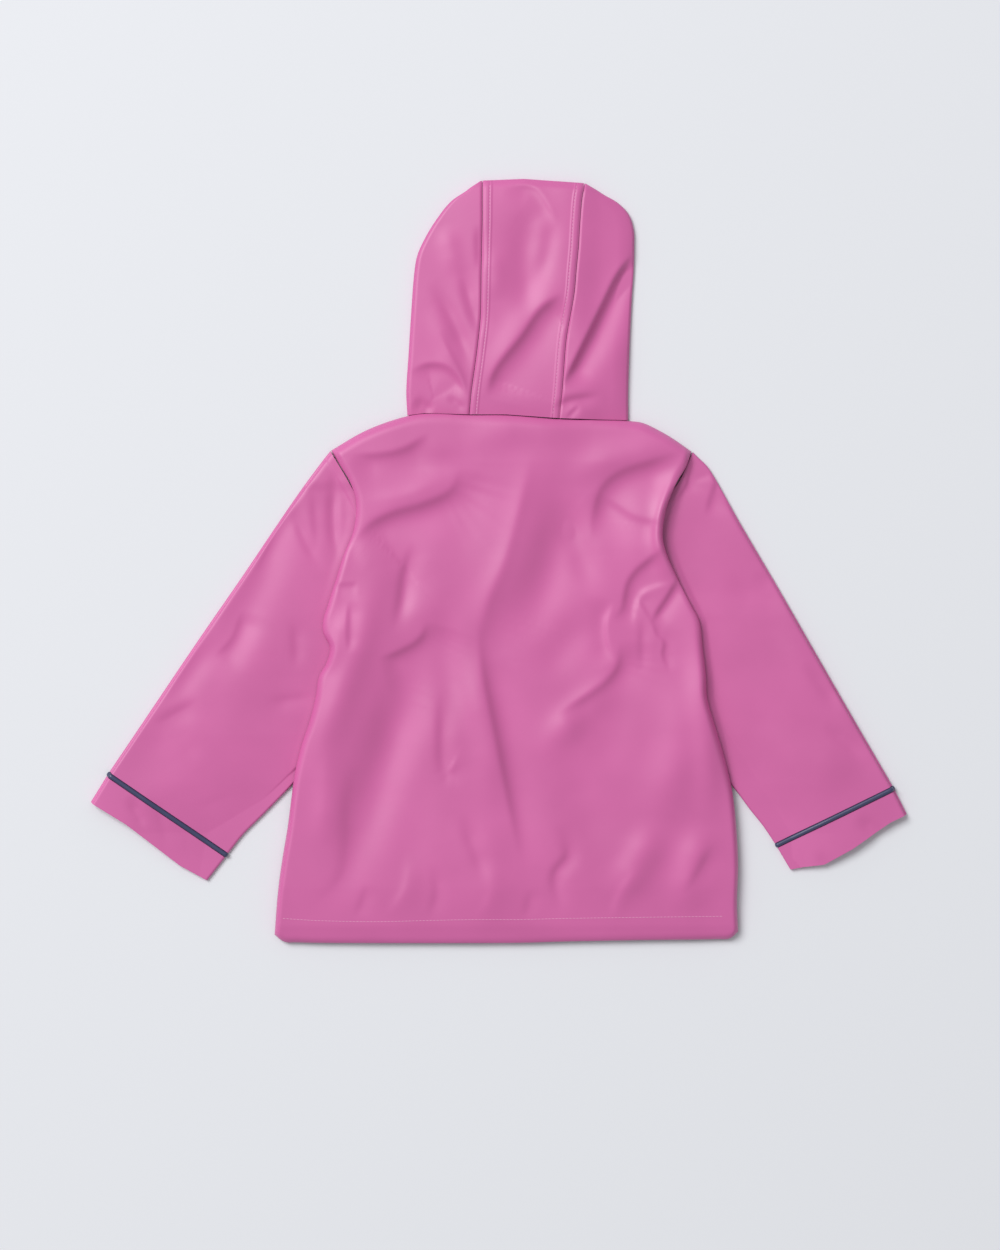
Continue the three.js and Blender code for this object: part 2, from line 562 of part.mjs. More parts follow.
for (const [side, sleeve] of Object.entries(SLEEVES)) {
  const outer = route(sleeve.outer);
  const inner = route(sleeve.inner);
  const armhole = route(sleeve.armhole);
  const half = PIPING.width / 2;
  const cut = half + SEAM_GAP;
  const lengths = { outer: outer.getLength(), inner: inner.getLength() };
  const root = { outer: outer.getPointAt(0), inner: inner.getPointAt(0) };
  const bow = (s) => (across) =>
    armhole
      .getPointAt(across)
      .sub(root.outer.clone().lerp(root.inner, across))
      .multiplyScalar((1 - s) ** 2);
  const along = (s) => [
    outer.getPointAt(s * (1 - cut / lengths.outer)),
    inner.getPointAt(s * (1 - cut / lengths.inner)),
  ];
  const turn = sleeve.sign;
  const sleeveRows = [...SLEEVE_START, ...stations(SLEEVE_ROWS, 1, [SLEEVE_START.at(-1)]).slice(2)];
  wall(
    `sleeve_${side}`,
    sleeveRows.map((s) => sleeveRing(side, ...along(s), bow(s))),
    { loop: true, turn },
  );

  const seam = { outer: outer.getPointAt(1), inner: inner.getPointAt(1) };
  const end = {
    outer: new THREE.Vector3(...sleeve.end.outer, 0),
    inner: new THREE.Vector3(...sleeve.end.inner, 0),
  };
  const beyond = (edge, distance) =>
    seam[edge].clone().lerp(end[edge], distance / seam[edge].distanceTo(end[edge]));
  const down = end.outer.clone().sub(seam.outer).normalize();
  const cuffLength = seam.outer.distanceTo(end.outer);
  const wave = (distance) => (across) =>
    down
      .clone()
      .multiplyScalar(column(sleeve.wave, "across", across, "out") * (distance / cuffLength) ** 2);
  wall(
    `cuff_${side}`,
    [cut, ...CUFF_ROWS.map((share) => share * cuffLength)].map((distance) =>
      sleeveRing(side, beyond("outer", distance), beyond("inner", distance), wave(distance)),
    ),
    { loop: true, turn },
  );

  // Piping: the same ring, moved out over its middle but flat where it rests
  const pipingRows = [
    { distance: -half, rise: 0 },
    { distance: -half * PIPING.crest, rise: PIPING.rise },
    { distance: half * PIPING.crest, rise: PIPING.rise },
    { distance: half, rise: 0 },
  ];
  const rings = pipingRows.map(({ distance }) =>
    sleeveRing(side, beyond("outer", distance), beyond("inner", distance)),
  );
  const out = outward(rings, true).map((row) => row.map((n) => n.multiplyScalar(turn)));
  const raised = (r, c) => (RING[c].fold > 0 ? pipingRows[r].rise : 0);
  const pipe = rings.map((row, r) => row.map((p, c) => p.addScaledVector(out[r][c], raised(r, c))));
  wall(`piping_${side}`, pipe, {
    loop: true,
    turn,
    thickness: (r, c) => CLOTH + raised(r, c),
  }).material = MATERIALS.piping;
}

// Hood: a centre strip from neck to face edge over the crown, and two sides turned under it
const crownAt = (x) =>
  x < HOOD_TOP.middleX
    ? THREE.MathUtils.mapLinear(x, HOOD_TOP.leftX, HOOD_TOP.middleX, HOOD_TOP.left, HOOD_TOP.middle)
    : THREE.MathUtils.mapLinear(x, HOOD_TOP.middleX, HOOD_TOP.rightX, HOOD_TOP.middle, HOOD_TOP.right);

/** Height of the hood's outer face over a place on the plan. */
function hoodHeight(place) {
  const fromLeft = place.x - column(HOOD_LEFT, "y", place.y, "outline");
  const fromRight = column(HOOD_RIGHT, "y", place.y, "outline") - place.x;
  const rise = Math.min(
    roll(Math.max(fromLeft, 0), HOOD_ROLL.left),
    roll(Math.max(fromRight, 0), HOOD_ROLL.right),
    roll(Math.max(crownAt(place.x) - place.y, 0), HOOD_ROLL.crown),
  );
  const level = column(HOOD_LEVEL, "y", place.y, "z") - foldDepth(HOOD_FOLDS, place);
  return FOLD_HEIGHT + Math.max(level - FOLD_HEIGHT, 0) * rise;
}

/** Moves a row's place so that the lowest row follows the neck seam. */
function fromNeck(place, lowest) {
  const share = THREE.MathUtils.clamp((place.y - lowest) / HOOD_NECK_REACH, 0, 1);
  place.y += (neckAt(place.x) + HOOD_GAP - lowest) * (1 - share);
  return place;
}

/** One side of the hood: from its seam out to the fold, and under to the face edge. */
function hoodSide(name, rows, sign) {
  const lowest = rows[0].y;
  const highest = rows.at(-1).y;
  const grid = stations(HOOD_STATIONS.side, highest - lowest, [HOOD_STATIONS.near]).map((v) => {
    const y = THREE.MathUtils.lerp(lowest, highest, v);
    const [seam, outline, face] = ["seam", "outline", "face"].map((key) => column(rows, "y", y, key));
    const start = seam + (sign * SEAM_GAP) / 2;
    const inset = Math.min(FOLD_HEIGHT / 2, Math.abs(outline - start) * HOOD_TURN);
    const turnIn = outline - sign * inset;
    const top = HOOD_SIDE_COLUMNS.map((share) => {
      const place = new THREE.Vector3(THREE.MathUtils.lerp(start, turnIn, share), y, 0);
      place.z = hoodHeight(fromNeck(place, lowest));
      return place;
    });
    const below = [0, 0.5, 1].map((share) => {
      const x = THREE.MathUtils.lerp(turnIn, face + (sign * SEAM_GAP) / 2, share);
      return fromNeck(new THREE.Vector3(x, y, 0), lowest);
    });
    const fold = fromNeck(new THREE.Vector3(outline, y, 0), lowest);
    fold.z = FOLD_HEIGHT / 2;
    return [...top, fold, ...below];
  });
  wall(name, grid, { turn: sign });
}
hoodSide("hood_side_left", HOOD_LEFT, -1);
hoodSide("hood_side_right", HOOD_RIGHT, 1);

const bandShare = SEAM_BAND / HOOD_CENTRE_WIDTH;
const bandColumns = [0, bandShare, bandShare * BAND_SLOPE];
const centreColumns = [...bandColumns, ...HOOD_CENTRE_COLUMNS, ...bandColumns.map((u) => 1 - u).reverse()];
const centrePlace = (u, y) => {
  const low = column(HOOD_LEFT, "y", y, "seam") + SEAM_GAP / 2;
  const high = column(HOOD_RIGHT, "y", y, "seam") - SEAM_GAP / 2;
  return new THREE.Vector3(THREE.MathUtils.lerp(low, high, u), y, 0);
};
const centreLow = HOOD_LEFT[0].y;
const overCrown = stations(HOOD_STATIONS.centre, HOOD_TOP.left - centreLow, [HOOD_STATIONS.near]).map((v) =>
  centreColumns.map((u, c) => {
    const crown = crownAt(centrePlace(u, HOOD_TOP.left).x) - FOLD_HEIGHT / 2;
    const place = centrePlace(u, THREE.MathUtils.lerp(centreLow, crown, v));
    fromNeck(place, centreLow);
    const onBand = c < 2 || c > centreColumns.length - 3;
    place.z = hoodHeight(place) + (onBand ? BAND_RISE : 0);
    return place;
  }),
);
const crownFold = centreColumns.map((u) => {
  const place = centrePlace(u, HOOD_TOP.left);
  return place.set(place.x, crownAt(place.x), FOLD_HEIGHT / 2);
});
const underCrown = [0, 0.5, 1].map((share) =>
  centreColumns.map((u) => {
    const crown = crownAt(centrePlace(u, HOOD_TOP.left).x) - FOLD_HEIGHT / 2;
    return centrePlace(u, THREE.MathUtils.lerp(crown, FACE_TOP, share));
  }),
);
wall("hood_centre", [...overCrown, crownFold, ...underCrown]);

export default coat;
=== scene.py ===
# %% [markdown]
# A child's raincoat, laid face down
#
# The coat is cut from one coated cloth: a back, two fronts, two sleeves with cuff bands, and a hood
# of three pieces, with a navy piping in each cuff seam. It lies on its fronts, so what shows is the
# back of every piece. Cloth like this is smooth and a little rubbery. It bends in broad soft folds
# and has a satin shine, so the shapes carry the look and the material stays quiet.

# %% Load the frame
import json
import math

import bpy
import numpy as np
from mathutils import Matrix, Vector
from mathutils.bvhtree import BVHTree

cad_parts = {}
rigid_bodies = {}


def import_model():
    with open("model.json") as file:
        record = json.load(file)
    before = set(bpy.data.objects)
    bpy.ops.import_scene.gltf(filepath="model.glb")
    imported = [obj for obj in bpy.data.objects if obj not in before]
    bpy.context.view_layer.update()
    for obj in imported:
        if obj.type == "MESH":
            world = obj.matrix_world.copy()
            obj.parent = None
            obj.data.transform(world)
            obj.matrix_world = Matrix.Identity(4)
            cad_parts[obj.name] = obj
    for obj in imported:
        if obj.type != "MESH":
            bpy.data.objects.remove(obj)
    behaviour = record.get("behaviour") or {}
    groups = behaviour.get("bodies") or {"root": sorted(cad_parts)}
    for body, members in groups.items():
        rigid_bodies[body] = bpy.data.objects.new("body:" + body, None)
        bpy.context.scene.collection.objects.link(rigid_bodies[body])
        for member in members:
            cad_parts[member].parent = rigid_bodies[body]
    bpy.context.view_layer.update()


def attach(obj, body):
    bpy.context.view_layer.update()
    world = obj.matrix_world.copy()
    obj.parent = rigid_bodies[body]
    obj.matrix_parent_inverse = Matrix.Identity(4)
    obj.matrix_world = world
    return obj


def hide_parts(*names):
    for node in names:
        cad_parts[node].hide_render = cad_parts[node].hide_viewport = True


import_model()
MM = 0.001

# %% [markdown]
# Tools for flat patterns
#
# A garment piece is bounded by seams, so each piece here is a patch between four edge curves, and
# its height above the table is a function of the place on the plan. Box modelling or a sculpt could
# give the same look, but a patch keeps every seam exactly where the pattern has it. All sizes in
# the tables are millimetres on the plan: x to the wearer's right, y towards the hood.

# %% Curves and tables
ROUTE_STEPS = 40


def column(rows, at, key, name):
    """A table's column at each place: straight lines between its rows, level past its ends."""
    rows = sorted(rows, key=lambda row: row[key])
    return np.interp(at, [row[key] for row in rows], [row[name] for row in rows])


def route(points, shares):
    """Places along a smooth curve through points, at shares of its length.

    Each stretch between two points is a centripetal Catmull-Rom curve: a blend of the straight
    lines through the four nearest points, with knots at the square roots of their distances."""
    p = np.asarray(points, float)
    if len(p) > 2:
        p = np.vstack([2 * p[0] - p[1], p, 2 * p[-1] - p[-2]])
        dense = []
        for a, b, c, d in zip(p, p[1:], p[2:], p[3:]):
            knots = np.cumsum([0, *(np.linalg.norm(np.diff([a, b, c, d], axis=0), axis=1) ** 0.5)])
            t = np.linspace(knots[1], knots[2], ROUTE_STEPS, endpoint=False)[:, None]
            line = lambda p0, p1, k0, k1: ((k1 - t) * p0 + (t - k0) * p1) / (k1 - k0)
            ab = line(a, b, knots[0], knots[1])
            bc = line(b, c, knots[1], knots[2])
            cd = line(c, d, knots[2], knots[3])
            abc = line(ab, bc, knots[0], knots[2])
            bcd = line(bc, cd, knots[1], knots[3])
            dense.append(line(abc, bcd, knots[1], knots[2]))
        p = np.vstack([*dense, p[-2]])
    length = np.concatenate([[0], np.cumsum(np.linalg.norm(np.diff(p, axis=0), axis=1))])
    at = np.asarray(shares, float) * length[-1]
    return np.stack([np.interp(at, length, p[:, 0]), np.interp(at, length, p[:, 1])], axis=-1)


def stations(count, length, near):
    """Shares from 0 to 1: even between the ends, with extra ones at set distances inside each."""
    near = np.asarray(near, float) / length
    even = np.linspace(near[-1], 1 - near[-1], count + 2)[1:-1]
    return np.concatenate([[0], near, even, 1 - near[::-1], [1]])


def patch(top, bottom, left, right, u, v):
    """Places inside four edges: the two ruled surfaces between them, less the corners' one."""
    t, b = route(top, u)[None], route(bottom, u)[None]
    le, r = route(left, v)[:, None], route(right, v)[:, None]
    u, v = u[None, :, None], v[:, None, None]
    corners = (t[:, :1] * (1 - u) + t[:, -1:] * u) * (1 - v) + (b[:, :1] * (1 - u) + b[:, -1:] * u) * v
    return t * (1 - v) + b * v + le * (1 - u) + r * u - corners


def smoothstep(x, low, high):
    """0 below low and 1 above high, with an S curve between."""
    t = np.clip((x - low) / (high - low), 0, 1)
    return t * t * (3 - 2 * t)


def roll(distance, radius):
    """Height of a rounded edge as a share, at a distance inside it: a quarter circle."""
    return np.sqrt(1 - (1 - np.clip(distance / radius, 0, 1)) ** 2)


print("half way along a bent line", route([(0, 0), (10, 4), (20, 0)], [0.5]).round(1))

# %% [markdown]
# Folds
#
# Coated cloth creases into troughs with one steep and one easy side. Cloth simulation makes such
# folds by chance, and here they have to lie where the real ones do, so each one is listed. A
# row gives the line that a fold's steep side follows, half its width, its depth (a ridge has a
# negative one), and where it isn't the usual one its shape: how unlike its two sides are, or how
# high its crest's lip is, and the share of its length over which its ends fade.

# %% Height of the folds
AWAY = np.array([0.71, -0.71])  # from the light, so from a fold's bright side to its dark one
FOLD_STEPS = 22
FOLD_SHAPE = (0.35, 0.4)  # usual skew, and share of the length over which a fold's end fades
TROUGH_SHIFT = 0.35  # of its half width, from a trough's steep side to its bottom
CREASE_SHAPE = (0.3, 0.2)  # usual lip, as a share of the depth, and the same share for the ends
LIP_REACH = 0.6  # of its half width, over which a crease's lip fades
CREST_ROUND = 0.22  # of its half width, over which a crest is rounded


def along(points, place, shift=(0, 0)):
    """Four values for each place: its distance from a smooth line, its side of the line, how far
    the way to it leans from the light, and the share of the line's length at the nearest point.

    The side is 1 on the side away from the light, -1 on the other, and the same all along."""
    line = route(np.array(points) + shift, np.linspace(0, 1, FOLD_STEPS))
    run = np.diff(line, axis=0)
    normal = np.stack([run[:, 1], -run[:, 0]], axis=-1)
    normal *= np.sign((normal @ AWAY).sum())
    best = np.full(place.shape[:-1], 1e9)
    share = np.zeros(best.shape)
    side = np.zeros(best.shape)
    lean = np.zeros(best.shape)
    for i, (a, step, n) in enumerate(zip(line, run, normal)):
        t = np.clip(((place - a) @ step) / (step @ step), 0, 1)
        gap = place - (a + t[..., None] * step)
        away = np.linalg.norm(gap, axis=-1)
        near = away < best
        best = np.where(near, away, best)
        share = np.where(near, (i + t) / (FOLD_STEPS - 1), share)
        side = np.where(near, np.sign(gap @ n), side)
        lean = np.where(near, (gap @ AWAY) / np.maximum(away, 1e-6), lean)
    return best, side, lean, share


def fade_ends(share, fade):
    """1 along a line and 0 at its ends, with an S curve over a share of its length."""
    return smoothstep(np.minimum(share, 1 - share), 0, fade)


def longer(points, reach):
    """A line of points whose two ends run on straight by a reach."""
    p = np.array(points, float)
    first, last = p[0] - p[1], p[-1] - p[-2]
    p[0] += first * reach / np.linalg.norm(first)
    p[-1] += last * reach / np.linalg.norm(last)
    return p


def relief(folds, place, shift=TROUGH_SHIFT):
    """How far soft folds lower the cloth at each place: the sum of one bell curve a fold.

    The bell's width depends on the side of the fold's line. Its line runs on by one half width at
    both ends, where its depth fades to nothing."""
    sunk = np.zeros(place.shape[:-1])
    for points, half, depth, *more in folds:
        skew, fade = (*more, *FOLD_SHAPE[len(more):])
        away, _, lean, share = along(longer(points, half), place, np.sign(AWAY) * half * shift)
        width = half * (1 + (skew * lean if shift else 0))
        sunk += depth * fade_ends(share, fade) * np.exp(-((away / width) ** 2))
    return sunk


def creases(rows, place):
    """How far sharp creases lower the cloth: each has a crest, and a trough on one side of it.

    Past the crest the cloth sinks as s * exp(1 - s), with s the distance in half widths, so it is
    steepest at the crest and lowest at s = 1. A lip that fades as exp(-s) raises the crest, and s
    is rounded off near nought. A negative half width turns the trough to the light."""
    sunk = np.zeros(place.shape[:-1])
    for points, half, depth, *more in rows:
        lip, fade = (*more, *CREASE_SHAPE[len(more):])
        away, side, _, share = along(points, place)
        s = away * side / half
        round_s = np.hypot(s, CREST_ROUND)
        ahead = (s + round_s) / 2
        ends = fade_ends(share, 1.5 * fade)
        sunk += depth * ends * (ahead * np.exp(1 - ahead) - lip * np.exp(-round_s / LIP_REACH))
    return sunk


def soft_floor(z, low, blend=1.2):
    """z where it is well above low, and never below it: the upper branch of a hyperbola."""
    return low + (z - low + np.hypot(z - low, blend)) / 2


def soft_ceiling(z, high, blend=2.0):
    """z where it is well below high, and never above it: the lower branch of a hyperbola."""
    return high - (high - z + np.hypot(high - z, blend)) / 2


UNEVEN = {
    "back": {"height": 0.25, "size": 60, "seed": 3},
    "sleeve": {"height": 0.3, "size": 55, "seed": 7},
    "hood": {"height": 0.25, "size": 50, "seed": 11},
}
WAVES = 9
WAVES_SHARE = 5  # divides the waves' sum, which then stays near -1 to 1


def ripple(place, piece):
    """A faint unevenness in mm: nine waves of about one size in turned directions, summed."""
    uneven = UNEVEN[piece]
    random = np.random.default_rng(uneven["seed"])
    total = np.zeros(place.shape[:-1])
    turns = random.uniform(0, math.pi, WAVES)
    sizes = uneven["size"] * random.uniform(0.7, 1.5, WAVES)
    for turn, size, phase in zip(turns, sizes, random.uniform(0, 6.28, WAVES)):
        ahead = place[..., 0] * math.cos(turn) + place[..., 1] * math.sin(turn)
        total += np.sin(ahead * 2 * math.pi / size + phase)
    return uneven["height"] * (total / WAVES_SHARE)


one_fold = ([(-20, 20), (20, -20)], 10, 2)
print("depth of one fold at its line and 20 mm off", relief([one_fold], np.array([[3.5, -3.5], [17, 11]])))

# %% [markdown]
# Cloth walls
#
# Real coated cloth is half a millimetre to a millimetre thick, which shows at every edge, so each
# piece is a closed wall and not a bare sheet. The inner face is the outer one moved in along its
# normals. Blender's Solidify could add it later, but here the hem is twice as thick as the rest,
# and the folds are too tight in places for one constant offset.

# %% From a grid of points to a mesh
CLOTH = 1.1
SEAM_GAP = 0.4
SHARP_DEGREES = 60
print("cloth walls", CLOTH, "mm thick,", SEAM_GAP, "mm apart at the seams")


def outward(grid, loop):
    """Unit normals of a grid: across the steps to both neighbours, each step made one long."""
    unit = lambda a: a / np.maximum(np.linalg.norm(a, axis=-1, keepdims=True), 1e-9)
    if loop:
        step = unit(np.roll(grid, -1, axis=1) - grid)
        across = step + np.roll(step, 1, axis=1)
    else:
        step = unit(np.diff(grid, axis=1))
        across = np.concatenate([step[:, :1], step[:, 1:] + step[:, :-1], step[:, -1:]], axis=1)
    step = unit(np.diff(grid, axis=0))
    down = np.concatenate([step[:1], step[1:] + step[:-1], step[-1:]], axis=0)
    return unit(np.cross(across, down))


def wall(name, grid, material, loop=False, turn=1, thickness=CLOTH, floor=0.0):
    """A closed mesh from a grid of places in mm: outer faces, inner faces and the joined rims.

    A loop's last column joins its first. A turn of -1 is for a grid whose rows run the other way."""
    rows, columns = grid.shape[:2]
    deep = np.broadcast_to(thickness, (rows, columns))[..., None]
    inner = grid - turn * outward(grid, loop) * deep
    inner[..., 2] = np.maximum(inner[..., 2], floor)
    places = np.concatenate([grid.reshape(-1, 3), inner.reshape(-1, 3)]) * MM
    r, c = np.meshgrid(np.arange(rows - 1), np.arange(columns if loop else columns - 1), indexing="ij")
    layer = rows * columns
    at = lambda r, c, deep: deep * layer + r * columns + c % columns
    quads = [
        np.stack([at(r, c, 0), at(r, c + 1, 0), at(r + 1, c + 1, 0), at(r + 1, c, 0)], -1),
        np.stack([at(r, c, 1), at(r + 1, c, 1), at(r + 1, c + 1, 1), at(r, c + 1, 1)], -1),
    ]
    c = c[0]
    last = rows - 1
    quads.append(np.stack([at(0, c, 0), at(0, c, 1), at(0, c + 1, 1), at(0, c + 1, 0)], -1))
    quads.append(np.stack([at(last, c, 0), at(last, c + 1, 0), at(last, c + 1, 1), at(last, c, 1)], -1))
    if not loop:
        r = np.arange(rows - 1)
        end = columns - 1
        quads.append(np.stack([at(r, 0, 0), at(r + 1, 0, 0), at(r + 1, 0, 1), at(r, 0, 1)], -1))
        quads.append(np.stack([at(r, end, 0), at(r, end, 1), at(r + 1, end, 1), at(r + 1, end, 0)], -1))
    faces = np.concatenate([q.reshape(-1, 4) for q in quads])
    if turn < 0:
        faces = faces[:, ::-1]
    return finish_piece(name, places, faces, material, smooth_edges=True)


def finish_piece(name, places, faces, material, smooth_edges=False):
    """Puts places and faces of four corners into a mesh object that rides on the coat."""
    mesh = bpy.data.meshes.new(name)
    mesh.vertices.add(len(places))
    mesh.vertices.foreach_set("co", np.ascontiguousarray(places, np.float32).ravel())
    mesh.loops.add(faces.size)
    mesh.loops.foreach_set("vertex_index", np.ascontiguousarray(faces, np.int32).ravel())
    mesh.polygons.add(len(faces))
    mesh.polygons.foreach_set("loop_start", np.arange(0, faces.size, faces.shape[1], dtype=np.int32))
    mesh.update(calc_edges=True)
    mesh.validate()
    mesh.materials.append(material)
    mesh.polygons.foreach_set("use_smooth", np.ones(len(mesh.polygons), bool))
    if smooth_edges:
        mesh.set_sharp_from_angle(angle=math.radians(SHARP_DEGREES))
    piece = bpy.data.objects.new(name, mesh)
    bpy.context.scene.collection.objects.link(piece)
    print(name, len(mesh.polygons), "faces")
    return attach(piece, "root")


def cloth_piece(piece, node):
    """Hides the solid that a piece stands for, and gives the piece back."""
    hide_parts(node)
    return piece


# %% [markdown]
# The coated cloth
#
# The cloth is knitted polyester with a film of polyurethane, which is what makes it waterproof. The
# film is smooth, so there is no weave to see. It has a soft broad shine with a very fine skin grain,
# and its colour shifts a little in large soft patches. A Principled shader with a mid roughness and a
# faint, wide bump does that. A coat layer would look like vinyl and a strong sheen like felt.

# %% Materials
def node_material(name):
    """A new material and its node tree with an empty Principled shader."""
    made = bpy.data.materials.new(name)
    made.use_nodes = True
    return made, made.node_tree.nodes, made.node_tree.links


def coated_cloth(name, colour, roughness=0.46, grain=0.055, patches=0.035):
    """Pigmented film: colour and gloss vary in soft patches, and two scales of grain lift the skin."""
    made, nodes, links = node_material(name)
    shader = nodes["Principled BSDF"]
    shader.inputs["Specular IOR Level"].default_value = 0.6
    places = nodes.new("ShaderNodeTexCoord")
    soft = nodes.new("ShaderNodeTexNoise")
    soft.inputs["Scale"].default_value = 14.0
    soft.inputs["Detail"].default_value = 3.0
    tint = nodes.new("ShaderNodeValToRGB")
    tint.color_ramp.elements[0].position = 0.3
    tint.color_ramp.elements[1].position = 0.7
    for stop, grow in zip(tint.color_ramp.elements, (1 - patches, 1 + patches)):
        stop.color = (*(min(c * grow, 1) for c in colour), 1)
    gloss = nodes.new("ShaderNodeMapRange")
    gloss.inputs["From Min"].default_value = 0.3
    gloss.inputs["From Max"].default_value = 0.7
    gloss.inputs["To Min"].default_value = roughness - 0.03
    gloss.inputs["To Max"].default_value = roughness + 0.04
    skin = nodes.new("ShaderNodeTexNoise")
    skin.inputs["Scale"].default_value = 1500.0
    skin.inputs["Detail"].default_value = 2.0
    dimple = nodes.new("ShaderNodeTexNoise")
    dimple.inputs["Scale"].default_value = 130.0
    dimple.inputs["Detail"].default_value = 4.0
    mix = nodes.new("ShaderNodeMix")
    mix.inputs["Factor"].default_value = 0.55
    bump = nodes.new("ShaderNodeBump")
    bump.inputs["Strength"].default_value = grain
    bump.inputs["Distance"].default_value = 0.0012
    for texture in (soft, skin, dimple):
        links.new(places.outputs["Object"], texture.inputs["Vector"])
    links.new(soft.outputs["Fac"], tint.inputs["Fac"])
    links.new(tint.outputs["Color"], shader.inputs["Base Color"])
    links.new(soft.outputs["Fac"], gloss.inputs["Value"])
    links.new(gloss.outputs["Result"], shader.inputs["Roughness"])
    links.new(skin.outputs["Fac"], mix.inputs["A"])
    links.new(dimple.outputs["Fac"], mix.inputs["B"])
    links.new(mix.outputs["Result"], bump.inputs["Height"])
    links.new(bump.outputs["Normal"], shader.inputs["Normal"])
    return made


PINK = (0.63, 0.127, 0.362)
NAVY = (0.043, 0.05, 0.12)
THREAD = (0.80, 0.36, 0.58)
pink_cloth = coated_cloth("pink_coated_cloth", PINK)
navy_piping = coated_cloth("navy_piping", NAVY, roughness=0.38, grain=0.1)
pink_thread = coated_cloth("pink_thread", THREAD, roughness=0.6, grain=0.2)
pink_stud = coated_cloth("pink_moulded_stud", PINK, roughness=0.3, grain=0.02)
print("materials", [m.name for m in (pink_cloth, navy_piping, pink_thread, pink_stud)])

# %% [markdown]
# The back
#
# The back is one panel. Its upper edge runs from shoulder to shoulder past the neck seam, and its
# sides turn over in soft rolls: high where they lie over the sleeves, low where they meet the fronts.

# %% Outline, levels and rolled edges of the back
NECK_AND_SHOULDERS = [
    (-154, 101), (-127, 117), (-106, 126), (-84, 132.5), (-68, 134.5), (-27, 133), (6, 133),
    (55, 129.5), (88, 128.5), (119, 128), (132, 126.5), (150, 118), (163, 110), (177, 100),
]
LEFT_EDGE = [
    (-154, 101), (-145, 86), (-136, 71), (-131, 55), (-131, 40), (-134, 24), (-142, 5), (-150, -20),
    (-157, -42), (-161, -55), (-161, -66), (-155, -80), (-158, -94), (-165, -107), (-168, -126),
    (-173, -146), (-181, -170), (-187, -195), (-190, -215), (-194, -245), (-199, -275), (-203, -305),
    (-206, -344),
]
RIGHT_EDGE = [
    (177, 100), (172, 86), (164, 73), (157, 58), (152, 42), (150, 21), (154, 5), (161, -11),
    (169, -27), (177, -42), (184, -56), (187, -80), (190, -105), (191, -125), (197, -147),
    (205, -173), (211, -196), (215, -215), (218, -241), (220, -279), (219, -315), (220, -341),
]
HEM_EDGE = [
    (-206, -344), (-197, -350.5), (-186, -351), (-97, -351.3), (20, -351), (62, -349.8),
    (124, -348.7), (200, -348), (212, -347.5), (220, -341),
]
BACK_LEVEL = [
    {"y": 133, "z": 12.5}, {"y": 90, "z": 15}, {"y": 0, "z": 16}, {"y": -200, "z": 14.8},
    {"y": -300, "z": 13.6}, {"y": -335, "z": 12}, {"y": -352, "z": 9},
]
NECK_RIM = [
    {"x": -154, "z": 2.3}, {"x": -95, "z": 2.4}, {"x": -70, "z": 7}, {"x": -45, "z": 9.5},
    {"x": 85, "z": 9.5}, {"x": 108, "z": 7}, {"x": 128, "z": 2.4}, {"x": 177, "z": 2.3},
]
HEM_RIM = [
    {"x": -206, "z": 2.4}, {"x": -165, "z": 5}, {"x": -110, "z": 6.4}, {"x": 120, "z": 6.4},
    {"x": 180, "z": 5}, {"x": 220, "z": 2.4},
]
SIDE_RIM = [
    {"y": 101, "left": 2.4, "right": 2.4}, {"y": 88, "left": 7.5, "right": 8},
    {"y": 71, "left": 10.5, "right": 14}, {"y": 20, "left": 10.5, "right": 15},
    {"y": -30, "left": 10, "right": 11}, {"y": -100, "left": 9.6, "right": 8.7},
    {"y": -160, "left": 8.6, "right": 7.4}, {"y": -205, "left": 6, "right": 5.6},
    {"y": -250, "left": 2.6, "right": 2.6}, {"y": -345, "left": 2.4, "right": 2.4},
]
ROLL = {"left": 7, "right": 7, "top": 10, "hem": 6}  # radius of each rounded edge
HEM = 22
RIM_REACH = 40  # over which the height of a side's edge passes into that of the neck or the hem
LEAST_ROLL = 0.6  # least rise from an edge to the cloth inside it
print("points in the back's edges", [len(edge) for edge in (NECK_AND_SHOULDERS, LEFT_EDGE, RIGHT_EDGE)])

